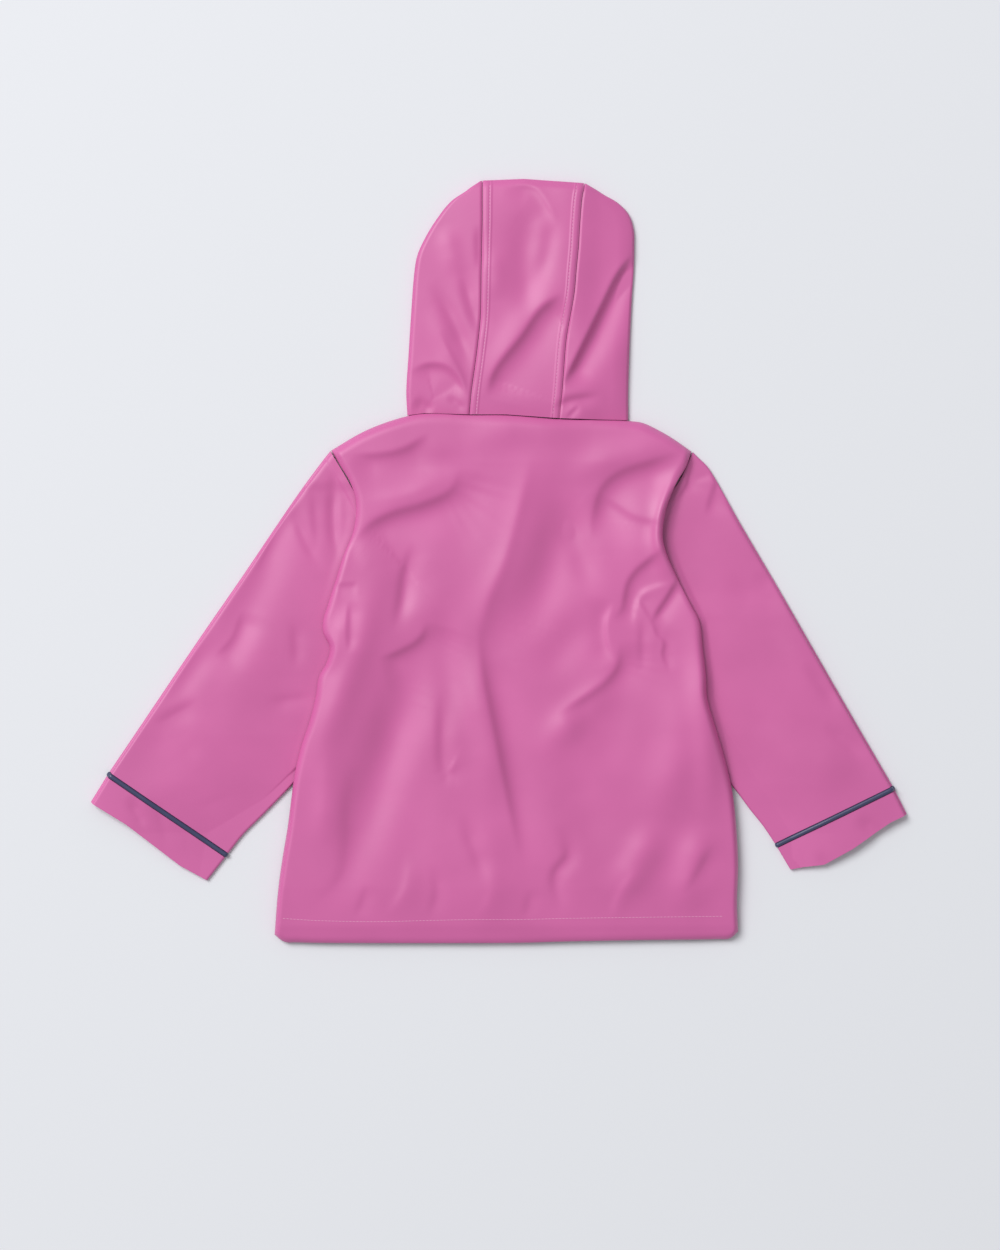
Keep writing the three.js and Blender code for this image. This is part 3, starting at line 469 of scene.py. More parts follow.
# %% Folds of the back: line, half width, depth, and where given skew and fade
BACK_SWELLS = [
    ([(-114, -12), (-120, -40), (-130, -80), (-146, -125), (-160, -168), (-168, -205)], 16, -4.6),
    ([(-140, -48), (-147, -72), (-154, -98)], 9, -2.2),
    ([(34, 92), (32, 50), (24, 10), (4, -30), (-14, -66)], 19, -5),
    ([(-22, 96), (-28, 40), (-34, -4)], 20, 1.7),
    ([(62, 66), (54, 20), (42, -30), (24, -76)], 18, 2.6),
    ([(-22, -90), (-18, -125), (-10, -165), (-2, -225)], 14, -3.6),
    ([(-50, -36), (-48, -80), (-45, -122), (-44, -152)], 15, 2.8),
    ([(163, 82), (153, 48), (150, 18), (153, -4), (156, -24)], 12, -5.5),
    ([(135, 66), (130, 20), (132, -10)], 18, -2.4),
    ([(165, 106), (130, 99), (95, 90), (66, 76)], 14, -2.6),
    ([(176, -50), (184, -88), (188, -128), (192, -180), (192, -240)], 13, -5),
    ([(166, -105), (168, -160), (158, -205), (148, -240)], 22, -4.4),
    ([(108, -112), (84, -132), (62, -152), (46, -176)], 15, -4),
    ([(142, -250), (128, -276), (116, -303)], 16, -4.2),
    ([(188, -252), (178, -280), (176, -312)], 16, -4.4),
    ([(-24, -250), (-10, -290), (-4, -322)], 24, -2.8),
    ([(-20, 112), (15, 122), (70, 114)], 17, -3),
    ([(-92, 14), (-84, -8), (-78, -36)], 18, 2.4),
    ([(-60, -80), (-82, -116), (-94, -150), (-104, -182), (-114, -216), (-122, -250), (-130, -292)], 23, 8.4),
    ([(-68, -172), (-76, -220), (-84, -270), (-90, -305)], 22, 2.1),
    ([(-100, 84), (-60, 88), (-25, 88)], 12, 2),
    ([(-138, 66), (-136, 40), (-134, 10), (-125, 0)], 9, 2.3),
    ([(66, 50), (70, 25), (76, 4), (84, -24)], 13, 3),
    ([(76, -60), (56, -84), (46, -100)], 18, 2.6),
    ([(112, -128), (108, -155), (92, -185)], 16, 1),
    ([(70, -195), (80, -230), (95, -250)], 20, 1.8),
]
BACK_FOLDS = [
    ([(-62, 74), (-92, 62), (-122, 58)], 13, -1.6),
    ([(-80, 14), (-87, -9), (-91, -35), (-96, -60)], 7, 2.2),
    ([(-131, -183), (-139, -215), (-140, -257), (-146, -287), (-170, -312)], 11, 1.6),
    ([(-160, -170), (-164, -250)], 14, -1.8),
    ([(-53, -121), (-49, -193), (-34, -186)], 7, 1.9),
    ([(-34, -235), (-15, -286)], 8, 1.9),
    ([(54, -242), (62, -267), (50, -286), (57, -318)], 7, 2),
    ([(165, 92), (157, 72), (149, 52), (144, 35), (143, 18), (148, 2), (156, -14)], 4, -1.2, 0),
    ([(131, -52), (130, -71), (131, -98)], 5, 1),
    ([(193, -262), (181, -285), (172, -300)], 8, 1.8),
    ([(-100, -320), (-86, -296), (-84, -270)], 8, -1),
    ([(-20, -325), (-8, -300), (-12, -276)], 8, -0.8),
    ([(104, -324), (112, -300), (124, -284)], 7, -1),
    ([(-130, -322), (-122, -300)], 6, 0.8),
    ([(-64, -324), (-58, -300), (-62, -280)], 6, 0.9),
    ([(24, -322), (28, -304)], 6, 0.8),
]
BACK_CREASES = [
    ([(-138, 97), (-108, 97.5), (-86, 103), (-62, 118)], 8, 2.6),
    ([(-36, 88), (-43, 66), (-68, 53), (-98, 44), (-120, 32), (-136, 12)], 12, 4.6, 0.15),
    ([(-151, -22), (-128, -20)], 4, 0.7),
    ([(-138, -36), (-139, -63), (-139, -86)], 4, 1.2),
    ([(-66, -54), (-72, -70), (-90, -82), (-112, -90)], 9, 3, 0.2),
    ([(32, 104), (26, 75), (19, 46), (6, -2), (-10, -40), (-22, -92)], 20, 5, 0.25),
    ([(-20, -48), (-15, -103), (-5, -155), (7, -215), (22, -285)], 10, 3.6, 0.35),
    ([(176, 102), (138, 91), (108, 80), (93, 66), (86, 42), (84, 10)], 12, 4, 0.15),
    ([(86, 68), (109, 50), (126, 40), (155, 35)], 9, 1.6, 0.2),
    ([(155, 16), (138, 2), (124, -10), (117, -21), (114, -34), (112, -44), (101, -56)], 7, 2.8),
    ([(162, -21), (147, -24), (134, -29), (128, -37), (123, -64)], -5, 1.1, 0.2),
    ([(165, -13), (154, -32), (145, -46), (137, -60)], 5, 3, 0.2),
    ([(138, -52), (144, -69), (150, -75), (149, -87), (156, -104)], 4, 1.3, 0.5),
    ([(126, -32), (135, -50), (143, -60)], 4, 1),
    ([(106, -36), (99, -56), (100, -75), (108, -94)], -6, 2, 0.2),
    ([(110, -72), (108, -96), (98, -110), (84, -121), (52, -142)], 10, 3.8, 0.2),
]
print("back", len(BACK_SWELLS), "swells", len(BACK_FOLDS), "folds", len(BACK_CREASES), "creases")

# %% The back as a surface
BACK_WIDTH = 390
BACK_LENGTH = 470
LEAST_LEVEL = 5  # the deepest fold stays this far above the surface
back_u = stations(190, BACK_WIDTH, [0.4, 1, 1.8, 2.6, 3.4, 4.2, 5, 6, 7.2, 8.6])
back_v = stations(214, BACK_LENGTH, [0.4, 1, 2, 3.4, 5, 7])


def back_surface(u, v):
    """Outer face of the back: a level, less the folds, rolled down to the height of each edge."""
    plan = patch(NECK_AND_SHOULDERS, HEM_EDGE, LEFT_EDGE, RIGHT_EDGE, u, v)
    x, y = plan[..., 0], plan[..., 1]
    gap = lambda edge: np.linalg.norm(plan - edge, axis=-1)
    from_left = gap(route(LEFT_EDGE, v)[:, None])
    from_right = gap(route(RIGHT_EDGE, v)[:, None])
    from_top = gap(route(NECK_AND_SHOULDERS, u)[None])
    from_hem = gap(route(HEM_EDGE, u)[None])
    side_rim = np.where(
        u[None] < 0.5, column(SIDE_RIM, y, "y", "left"), column(SIDE_RIM, y, "y", "right")
    )
    down = v[:, None]
    end_rim = column(NECK_RIM, x, "x", "z") * (1 - down) + column(HEM_RIM, x, "x", "z") * down
    inside = smoothstep(np.minimum(from_left, from_right), 0, RIM_REACH)
    rim = side_rim * (1 - inside) + end_rim * inside
    level = column(BACK_LEVEL, y, "y", "z") + ripple(plan, "back")
    level -= relief(BACK_SWELLS, plan, 0) + relief(BACK_FOLDS, plan) + creases(BACK_CREASES, plan)
    level = soft_floor(level, LEAST_LEVEL)
    rise = np.minimum(roll(from_left, ROLL["left"]), roll(from_right, ROLL["right"]))
    rise = rise * np.minimum(roll(from_top, ROLL["top"]), roll(from_hem, ROLL["hem"]))
    z = rim + np.maximum(level - rim, LEAST_ROLL) * rise
    return np.dstack([plan, z])


back_grid = back_surface(back_u, back_v)
in_hem = back_v[:, None] > 1 - HEM / BACK_LENGTH
doubled = CLOTH * np.where(in_hem, 2, 1)
back = wall("back_cloth", back_grid, pink_cloth, turn=-1, thickness=doubled, floor=CLOTH + SEAM_GAP)
cloth_piece(back, "back")
print("back height in mm", back_grid[..., 2].min().round(1), back_grid[..., 2].max().round(1))

# %% [markdown]
# The fronts
#
# Nothing of the fronts shows from above but a hair's breadth at the sides. They lie flat on the
# surface and carry the coat, and the left one steps up over the edge of the right one, with the
# press studs between them. Flat patches are all they need.

# %% Sleeve edges and front patches
LEFT_ARMHOLE = [
    (-154.8, 100.5), (-137, 70.5), (-126, 48), (-119, 10), (-118, -40), (-124, -100), (-143, -153),
]
RIGHT_ARMHOLE = [
    (178.4, 99.5), (165.6, 72.3), (148, 48), (141, 10), (140, -40), (145, -95), (159, -147),
]
SLEEVES = {
    "left": {
        "sign": -1,
        "armhole": LEFT_ARMHOLE,
        "outer": [
            (-154.8, 100.5), (-160, 94), (-183, 63), (-238, -18), (-276, -73), (-332, -156), (-359, -196),
        ],
        "inner": [(-143, -153), (-155, -167), (-189, -205), (-216, -233), (-235, -252), (-250, -271)],
        "end": {"outer": (-375, -222), "inner": (-268, -294)},
        "wave": [(0, 0), (0.3, -1.5), (0.6, 1), (0.78, 2.5), (1, 0)],
        "seam": [(-186, -191), (-202, -207), (-213, -218), (-235, -240), (-244, -250), (-260, -275)],
    },
    "right": {
        "sign": 1,
        "armhole": RIGHT_ARMHOLE,
        "outer": [
            (178.4, 99.5), (184, 94), (192, 86), (222, 34), (259, -29), (301, -102), (331, -154), (363, -209),
        ],
        "inner": [(159, -147), (185, -174), (216, -209), (231, -229), (243, -244), (255, -262)],
        "end": {"outer": (375, -233), "inner": (268, -284)},
        "wave": [(0, 0), (0.15, 0), (0.5, 7), (0.75, 9), (0.9, 3), (1, 0)],
        "seam": [(196, -179), (213, -199), (229, -218), (241, -235), (254, -253), (264, -266)],
    },
}
OVERLAP = {"low": -8, "high": 28, "jog": 9}
FRONT_INSET = 1.6
FRONT_SIDE_TOP = -210
FRONT_WALL = 1.3
STEP_HEIGHT = 3.0
front_v = stations(90, BACK_LENGTH, [1, 4])


def outer_side(armhole, sleeve, edge, sign):
    """A front's outer side: down the armhole, out along the sleeve and down the coat's side."""
    points = [*armhole, *sleeve["inner"][1:3], *(p for p in edge if p[1] < FRONT_SIDE_TOP)]
    return [(x - sign * FRONT_INSET, y) for x, y in points]


def along_edge(edge, low, high, lift):
    """Part of the neck or the hem line between two x, moved by a small lift."""
    at = lambda x: float(np.interp(x, [p[0] for p in edge], [p[1] for p in edge])) + lift
    inner = [p[0] for p in edge if low + FRONT_INSET < p[0] < high - FRONT_INSET]
    return [(x, at(x)) for x in (low, *inner, high)]


def front(name, low, high, left, right, straight):
    """A flat patch with its straight edge at one side; the left one steps up there."""
    top = along_edge(NECK_AND_SHOULDERS, low, high, 0)
    bottom = along_edge(HEM_EDGE, max(low, HEM_EDGE[0][0] + FRONT_INSET), high, FRONT_INSET)
    u = np.linspace(0, 1, 60)
    plan = patch(top, bottom, left or [top[0], bottom[0]], right or [top[-1], bottom[-1]], u, front_v)
    below = OVERLAP["low"] - OVERLAP["jog"]
    step = smoothstep(plan[..., 0], below, OVERLAP["low"] - FRONT_INSET)
    grid = np.dstack([plan, STEP_HEIGHT * step if straight == "right" else 0 * step])
    piece = wall(name + "_cloth", grid, pink_cloth, thickness=FRONT_WALL)
    return cloth_piece(piece, name)


front_right = front(
    "front_right", OVERLAP["low"], RIGHT_ARMHOLE[0][0] - FRONT_INSET, None,
    outer_side(RIGHT_ARMHOLE, SLEEVES["right"], RIGHT_EDGE, 1), "left",
)
front_left = front(
    "front_left", LEFT_ARMHOLE[0][0] + FRONT_INSET, OVERLAP["high"],
    outer_side(LEFT_ARMHOLE, SLEEVES["left"], LEFT_EDGE, -1), None, "right",
)

# %% [markdown]
# The sleeves, cuffs and piping
#
# A laid sleeve is a flattened tube. Its two layers meet in soft folds at the outer and inner edge,
# and it stands a finger's breadth high between them. One ring is enough to describe it, as a height
# for each place across the sleeve, and the ring is then carried down the sleeve's two edges. Near
# the body, the sleeve dips under the rolled edge of the back.

# %% One ring of a sleeve
RING_TOP = [
    {"across": 0, "rise": 0}, {"across": 0.002, "rise": 0.45}, {"across": 0.005, "rise": 0.72},
    {"across": 0.01, "rise": 0.88}, {"across": 0.017, "rise": 0.96}, {"across": 0.03, "rise": 1},
    {"across": 0.8, "rise": 1}, {"across": 0.9, "rise": 0.92}, {"across": 0.95, "rise": 0.75},
    {"across": 0.98, "rise": 0.45}, {"across": 1, "rise": 0},
]
FOLD_HEIGHT = 3.8
SLEEVE_LEVEL = [
    {"y": 100, "left": 7.5, "right": 6}, {"y": 60, "left": 8.5, "right": 5.8},
    {"y": 0, "left": 9.2, "right": 6.8}, {"y": -40, "left": 9.2, "right": 8.3},
    {"y": -140, "left": 9.4, "right": 9.4}, {"y": -230, "left": 9, "right": 9},
]
SLEEVE_TOP = {"left": 74, "right": 104}  # y, past which a sleeve doesn't dip beside the back
DIP = [
    {"y": -170, "left": 0.3, "right": 2.6, "to": 7}, {"y": -50, "left": 0, "right": 3, "to": 7},
    {"y": -5, "left": 1, "right": 6, "to": 9}, {"y": 60, "left": 2, "right": 7.6, "to": 11},
]
RISE = {"left": 0.05, "right": 0.13, "blend": 10}  # slope outwards from the dip beside the back
LIFT = 1.6
PIPING = {"width": 4.4, "rise": 1.5}
TOP_POINTS = 136
EDGE_POINTS = 7
UNDER_POINTS = 22
CROWDED = {"sleeve": 0.55, "hood": 0.35}  # how much closer together the points are at both edges

SLEEVE_SWELLS = [
    ([(-186, 62), (-206, 8), (-226, -30), (-240, -64), (-250, -100)], 18, 2.8),
    ([(-214, -66), (-224, -100), (-232, -130)], 22, -1.8),
    ([(-262, -76), (-284, -104), (-298, -128)], 12, 1.8),
    ([(-250, -150), (-228, -190)], 22, -1.2),
    ([(-318, -160), (-292, -196)], 16, 1),
    ([(222, 44), (240, 0)], 18, -1),
    ([(214, -26), (262, -42)], 12, 1.6),
    ([(206, -84), (231, -133), (268, -168)], 20, 2.2),
    ([(262, -66), (302, -130)], 14, -1.4),
    ([(258, -198), (316, -186)], 22, -1.8),
]
SLEEVE_FOLDS = [
    ([(-152, 84), (-154, 42), (-150, -2)], 6, 3, 0),
    ([(-172, 66), (-168, 14)], 8, 1.6, 0.6),
    ([(-190, 48), (-176, 14), (-163, -6)], 6, 1.8, 0.5),
    ([(-184, 56), (-208, 22), (-222, -10)], 7, 1.1),
    ([(-283, -130), (-314, -147)], 9, 1.4),
    ([(-212, -128), (-172, -123)], 8, 1.8),
    ([(-189, -56), (-187, -94)], 7, 1.5),
    ([(-240, -212), (-280, -226)], 8, 1.4),
    ([(-300, -150), (-280, -178)], 9, 0.9),
    ([(200, 72), (216, 54)], 7, 1.3),
    ([(281, -96), (308, -130)], 7, 1.4),
    ([(236, -14), (264, -20)], 8, 1.2),
    ([(300, -150), (330, -176)], 7, 1.2),
    ([(226, -176), (246, -204)], 8, 1.3),
    ([(-340, -218), (-326, -244)], 6, 1.8),
    ([(-316, -222), (-306, -262)], 7, 2),
    ([(-290, -244), (-284, -276)], 5, 1.2),
    ([(-330, -212), (-312, -252)], 5, -1),
    ([(290, -268), (306, -286)], 6, 1.6),
    ([(330, -236), (352, -252)], 7, 1.5),
    ([(276, -262), (282, -284)], 4, 1.2),
]
SLEEVE_CREASES = [
    ([(-236, -44), (-246, -72), (-262, -88)], 8, 1.4, 0.2),
    ([(206, 84), (196, 66), (188, 40)], 6, 1.6, 0.2),
    ([(176, 92), (172, 76), (170, 60)], 5, 1.6, 0.2),
]
print("sleeves", len(SLEEVE_SWELLS), "swells", len(SLEEVE_FOLDS), "folds", len(SLEEVE_CREASES), "creases")


def smooth_column(rows, at, key, name):
    """A table's column at each place, along a smooth curve through its rows."""
    rows = sorted(rows, key=lambda row: row[key])
    curve = route([(row[key], row[name]) for row in rows], np.linspace(0, 1, 400))
    return np.interp(at, curve[:, 0], curve[:, 1])


def ring_places():
    """Place across the sleeve and side of the fold for each point round a ring.

    Top points are close together at both edges; a half circle turns each edge; the rest is below."""
    t = np.linspace(0, 1, TOP_POINTS)
    across = t - CROWDED["sleeve"] * np.sin(2 * math.pi * t) / (2 * math.pi)
    turn = np.linspace(0, math.pi, EDGE_POINTS + 2)[1:-1]
    under = np.linspace(1, 0, UNDER_POINTS)
    return across, turn, under


def sleeve_height(side, plan):
    """Height of a sleeve's outer face: free height less the folds, kept under the back's edge."""
    y = plan[..., 1]
    free = column(SLEEVE_LEVEL, y, "y", side) + ripple(plan, "sleeve")
    free -= relief(SLEEVE_SWELLS, plan, 0) + relief(SLEEVE_FOLDS, plan) + creases(SLEEVE_CREASES, plan)
    edge = LEFT_EDGE if side == "left" else RIGHT_EDGE
    rows = [{"x": x, "y": y} for x, y in edge]
    outside = SLEEVES[side]["sign"] * (plan[..., 0] - column(rows, y, "y", "x"))
    to = column(DIP, y, "y", "to")
    past = outside - to
    clear = column(SIDE_RIM, y, "y", side) - LIFT
    clear -= column(DIP, y, "y", side) * smoothstep(outside / to, 0, 1)
    clear += RISE[side] * (past + np.hypot(past, RISE["blend"])) / 2
    above = smoothstep(y, SLEEVE_TOP[side] - 12, SLEEVE_TOP[side])
    return soft_ceiling(free, clear) * (1 - above) + free * above


def rings(side, outer, inner, shift=None, extra=None):
    """A grid of rings between two edges on the plan, each with a top, two round folds and a base."""
    across, turn, under = ring_places()
    width = np.linalg.norm(inner - outer, axis=-1)[:, None]
    r = FOLD_HEIGHT / 2
    inset = r / width
    top_a = inset + (1 - 2 * inset) * across[None]
    under_a = inset + (1 - 2 * inset) * under[None]
    near_inner = 1 - inset + inset * np.sin(turn)[None]
    near_outer = inset - inset * np.sin(turn)[None]
    a = np.concatenate([top_a, near_inner, under_a, near_outer], axis=1)
    plan = outer[:, None] * (1 - a)[..., None] + inner[:, None] * a[..., None]
    if shift is not None:
        plan = plan + shift(a)
    top = plan[:, : len(across)]
    rise = smooth_column(RING_TOP, across, "across", "rise")[None]
    height = sleeve_height(side, top) + (extra(top) if extra else 0)
    top_z = FOLD_HEIGHT + np.maximum(height - FOLD_HEIGHT, 0) * rise
    rows = len(outer)
    z = np.concatenate([
        top_z,
        np.tile(r + r * np.cos(turn), (rows, 1)),
        np.zeros((rows, len(under))),
        np.tile(r - r * np.cos(turn), (rows, 1)),
    ], axis=1)
    return np.dstack([plan, z])


# %% From the armhole to the cuff
SEAM_BAND = 8
BAND_RISE = 0.6
SEAM_STEP = {"down": 1.5, "over": 1.1, "groove": 0.8, "half": 0.9}
CUFF_GAP = PIPING["width"] / 2 + SEAM_GAP
ROOT_SHARES = [0, 0.001, 0.003, 0.006, 0.01, 0.014, 0.018, 0.021, 0.024, 0.028, 0.033]
sleeve_share = np.concatenate([ROOT_SHARES, np.linspace(0.04, 1, 150)])


def edge_length(edge):
    """Length of a smooth edge in mm: the sum of many short steps along it."""
    return np.linalg.norm(np.diff(route(edge, np.linspace(0, 1, 2000)), axis=0), axis=1).sum()


def bow(cut, a):
    """Moves the rings towards the armhole's curve, less with the square of the distance from it."""
    roots = np.array([cut["outer"][0], cut["inner"][0]])
    straight = roots[0] * (1 - a[..., None]) + roots[1] * a[..., None]
    curve = route(cut["armhole"], a.ravel()).reshape(*a.shape, 2)
    return (curve - straight) * ((1 - sleeve_share) ** 2)[:, None, None]


def seam_step(cut, plan):
    """Rise at the underarm seam: a step down past its line, and a groove along it."""
    away, which, _, _ = along(cut["seam"], plan)
    past = -cut["sign"] * which * away
    groove = SEAM_STEP["groove"] * np.exp(-((past / SEAM_STEP["half"]) ** 2))
    return -SEAM_STEP["down"] * smoothstep(past, 0, SEAM_STEP["over"]) - groove


def sleeve_surface(side, cut):
    """Rings from the armhole to the piping, raised by the band that is stitched beside the armhole."""
    length = {edge: edge_length(cut[edge]) for edge in ("outer", "inner")}
    outer = route(cut["outer"], sleeve_share * (1 - CUFF_GAP / length["outer"]))
    inner = route(cut["inner"], sleeve_share * (1 - CUFF_GAP / length["inner"]))
    from_root = sleeve_share * length["outer"]
    band = BAND_RISE * (1 - smoothstep(from_root, SEAM_BAND - 2, SEAM_BAND + 1))[:, None]
    shift = lambda a: bow(cut, a)
    return rings(side, outer, inner, shift, lambda plan: band + seam_step(cut, plan))


# %% Cuffs and piping
CUFF_WALL = 1.6
PIPING_WALL = 1.3


def cuff_edges(cut, distance):
    """Both edges of the cuff at distances past its seam, its direction and its length."""
    seam = np.array([cut["outer"][-1], cut["inner"][-1]], float)
    end = np.array([cut["end"]["outer"], cut["end"]["inner"]], float)
    length = np.linalg.norm(end[0] - seam[0])
    down = (end[0] - seam[0]) / length
    outer = seam[0] + down * distance[:, None]
    inner = seam[1] + (end[1] - seam[1]) * (distance / length)[:, None]
    return outer, inner, down, length


def cuff_surface(side, cut):
    """Rings from the piping to the cuff's end, which is waved as the square of the distance."""
    _, _, down, length = cuff_edges(cut, np.zeros(1))
    near_piping = [CUFF_GAP, CUFF_GAP + 0.3, CUFF_GAP + 0.8, CUFF_GAP + 1.6]
    middle = np.linspace(CUFF_GAP + 2.6, length - 1, 24)
    steps = np.concatenate([near_piping, middle, [length - 0.4, length]])
    outer, inner, _, _ = cuff_edges(cut, steps)
    at, wave = np.transpose(cut["wave"])
    swing = ((steps / length) ** 2)[:, None]
    shift = lambda a: (np.interp(a, at, wave) * swing)[..., None] * down
    return rings(side, outer, inner, shift, lambda plan: seam_step(cut, plan))


def piping_surface(side, cut):
    """Rings across the cord, raised from the cloth by half an ellipse, and its wall's thickness."""
    half = PIPING["width"] / 2
    steps = np.linspace(-half, half, 11)
    outer, inner, _, _ = cuff_edges(cut, steps)
    grid = rings(side, outer, inner)
    normals = outward(grid, True) * cut["sign"]
    raised = PIPING["rise"] * np.sqrt(np.clip(1 - (steps / half) ** 2, 0, 1))[:, None]
    raised = raised * smoothstep(grid[..., 2], 0.2, FOLD_HEIGHT)
    grid = grid + normals * raised[..., None]
    grid[..., 2] = np.maximum(grid[..., 2], 0)
    return grid, PIPING_WALL + raised


# %% Both sleeves with their cuffs and piping
for side, cut in SLEEVES.items():
    ring = {"loop": True, "turn": cut["sign"]}
    grid = sleeve_surface(side, cut)
    piece = wall(f"sleeve_{side}_cloth", grid, pink_cloth, **ring)
    cloth_piece(piece, f"sleeve_{side}")
    print(side, "sleeve height in mm", grid[..., 2].max().round(1))

    grid = cuff_surface(side, cut)
    piece = wall(f"cuff_{side}_cloth", grid, pink_cloth, thickness=CUFF_WALL, **ring)
    cloth_piece(piece, f"cuff_{side}")

    grid, deep = piping_surface(side, cut)
    piece = wall(f"piping_{side}_cord", grid, navy_piping, thickness=deep, **ring)
    cloth_piece(piece, f"piping_{side}")

# %% [markdown]
# The hood
#
# The hood has a centre strip and two sides, sewn with the seam allowances stitched down on the
# strip, which leaves a raised band along each seam. Laid flat, the sides turn under at their
# outline, and the hood keeps a pillow of air. Its height falls off with a quarter circle from the
# outline: a short one at the crown, a long one on the shaded side.

# %% Outline and folds of the hood
HOOD_LEFT = [
    {"y": 132.6, "seam": -27, "outline": -84, "face": -24},
    {"y": 155, "seam": -25, "outline": -85, "face": -33},
    {"y": 188, "seam": -20.5, "outline": -83, "face": -37},
    {"y": 220, "seam": -17, "outline": -81, "face": -37},
    {"y": 266, "seam": -16, "outline": -77.5, "face": -30},
    {"y": 280, "seam": -15.7, "outline": -75, "face": -24},
    {"y": 292, "seam": -15.5, "outline": -70, "face": -15.5},
    {"y": 311, "seam": -15, "outline": -59, "face": -15},
    {"y": 330, "seam": -15, "outline": -44, "face": -15},
    {"y": 339, "seam": -15, "outline": -31, "face": -15},
    {"y": 343.5, "seam": -15, "outline": -25, "face": -15},
    {"y": 348.6, "seam": -15, "outline": -17, "face": -15},
]
HOOD_RIGHT = [
    {"y": 127.5, "seam": 55, "outline": 119, "face": 62},
    {"y": 155, "seam": 58, "outline": 119, "face": 76},
    {"y": 204, "seam": 62, "outline": 120.5, "face": 81},
    {"y": 244, "seam": 69, "outline": 122.5, "face": 80},
    {"y": 266, "seam": 71, "outline": 124, "face": 77},
    {"y": 287, "seam": 73, "outline": 124.5, "face": 74},
    {"y": 304, "seam": 74, "outline": 124, "face": 74},
    {"y": 318, "seam": 75, "outline": 119.5, "face": 75},
    {"y": 329, "seam": 76, "outline": 109, "face": 76},
    {"y": 336, "seam": 77, "outline": 97, "face": 77},
    {"y": 340.5, "seam": 78, "outline": 90, "face": 78},
    {"y": 346, "seam": 78.6, "outline": 80.6, "face": 78.6},
]
HOOD_CROWN = [{"x": -15, "y": 349}, {"x": 23, "y": 350.5}, {"x": 79, "y": 346.5}]
FACE_TOP = 297
HOOD_LEVEL = [
    {"y": 128, "z": 9.5}, {"y": 145, "z": 11.5}, {"y": 200, "z": 13}, {"y": 290, "z": 12.5},
    {"y": 330, "z": 11}, {"y": 351, "z": 8.5},
]
HOOD_ACROSS = [
    {"x": -85, "more": -4.5}, {"x": -60, "more": -3.2}, {"x": -20, "more": -0.5}, {"x": 40, "more": 1},
    {"x": 70, "more": 2}, {"x": 95, "more": -2}, {"x": 122, "more": -4.5},
]
HOOD_ROLL = {"left": 5, "right": 16, "crown": 9}
HOOD_GAP = 0.7
HOOD_NECK_REACH = 30
HOOD_SWELLS = [
    ([(64, 262), (44, 240), (22, 214), (2, 180), (-14, 158)], 15, -2.6),
    ([(80, 150), (92, 176), (108, 200)], 16, -1.2),
    ([(-48, 300), (-40, 268)], 9, -1.2),
    ([(-62, 226), (-48, 196), (-40, 170)], 9, -1.4),
    ([(-4, 280), (-2, 245)], 9, -1.2),
]
HOOD_FOLDS = [
    ([(-35, 268), (-28, 238), (-19, 210)], 7, 2.2),
    ([(-61, 254), (-43, 220), (-27, 180)], 7, 2),
    ([(-20, 306), (-19, 268)], 5, 1.1),
    ([(28, 330), (20, 290), (21, 250), (25, 220)], 13, 2.6, 0),
    ([(46, 318), (42, 286), (32, 256)], 8, 1.2, 0),
    ([(-76, 146), (-66, 141)], 6, 1.6),
    ([(-46, 150), (-34, 140)], 4, 1),
    ([(50, 140), (62, 147), (88, 151)], 6, 2.4),
    ([(62, 132), (72, 141)], 3, 1),
]
HOOD_CREASES = [
    ([(4, 344), (32, 342), (48, 320), (54, 306)], 6, 1.4, 0.5),
    ([(60, 246), (38, 230), (20, 205), (-5, 172), (-12, 148)], 10, 4.4, 0.3, 0.12),
    ([(126, 286), (108, 262), (94, 234), (76, 197), (56, 156)], 8, 6.5, 0.3, 0.12),
    ([(-84, 172), (-66, 180), (-48, 178), (-34, 164), (-27, 146)], 7, 2.4, 0.4),
    ([(-56, 212), (-46, 192), (-34, 168), (-29, 146)], 6, 1.2, 0.4),
]
print("hood", len(HOOD_SWELLS), "swells", len(HOOD_FOLDS), "folds", len(HOOD_CREASES), "creases")

# %% Height of the hood
CORNER = 4.0  # how sharply the rolls from the outline and the crown meet
SEAM_PULL = {"depth": 1.1, "half": 1.3}


def hood_height(plan):
    """Level less folds, let down by rolls from both outlines and the crown, blended as a 4-norm."""
    x, y = plan[..., 0], plan[..., 1]
    drops = [
        1 - roll(np.maximum(x - smooth_column(HOOD_LEFT, y, "y", "outline"), 0), HOOD_ROLL["left"]),
        1 - roll(np.maximum(smooth_column(HOOD_RIGHT, y, "y", "outline") - x, 0), HOOD_ROLL["right"]),
        1 - roll(np.maximum(column(HOOD_CROWN, x, "x", "y") - y, 0), HOOD_ROLL["crown"]),
    ]
    rise = np.clip(1 - sum(drop**CORNER for drop in drops) ** (1 / CORNER), 0, 1)
    level = smooth_column(HOOD_LEVEL, y, "y", "z") + smooth_column(HOOD_ACROSS, x, "x", "more")
    level += ripple(plan, "hood")
    level -= relief(HOOD_SWELLS, plan, 0) + relief(HOOD_FOLDS, plan) + creases(HOOD_CREASES, plan)
    return FOLD_HEIGHT + np.maximum(level - FOLD_HEIGHT, 0) * rise


def from_neck(plan, lowest):
    """Moves the rows near the neck up or down, so that the lowest one follows the neck seam."""
    share = np.clip((plan[..., 1] - lowest) / HOOD_NECK_REACH, 0, 1)
    neck = np.interp(plan[..., 0], *np.transpose(NECK_AND_SHOULDERS)) + HOOD_GAP
    plan[..., 1] += (neck - lowest) * (1 - share)
    return plan


def seam_line(distance):
    """How far a sewn seam pulls the cloth down at a distance from it: a narrow bell curve."""
    return SEAM_PULL["depth"] * np.exp(-((distance / SEAM_PULL["half"]) ** 2))


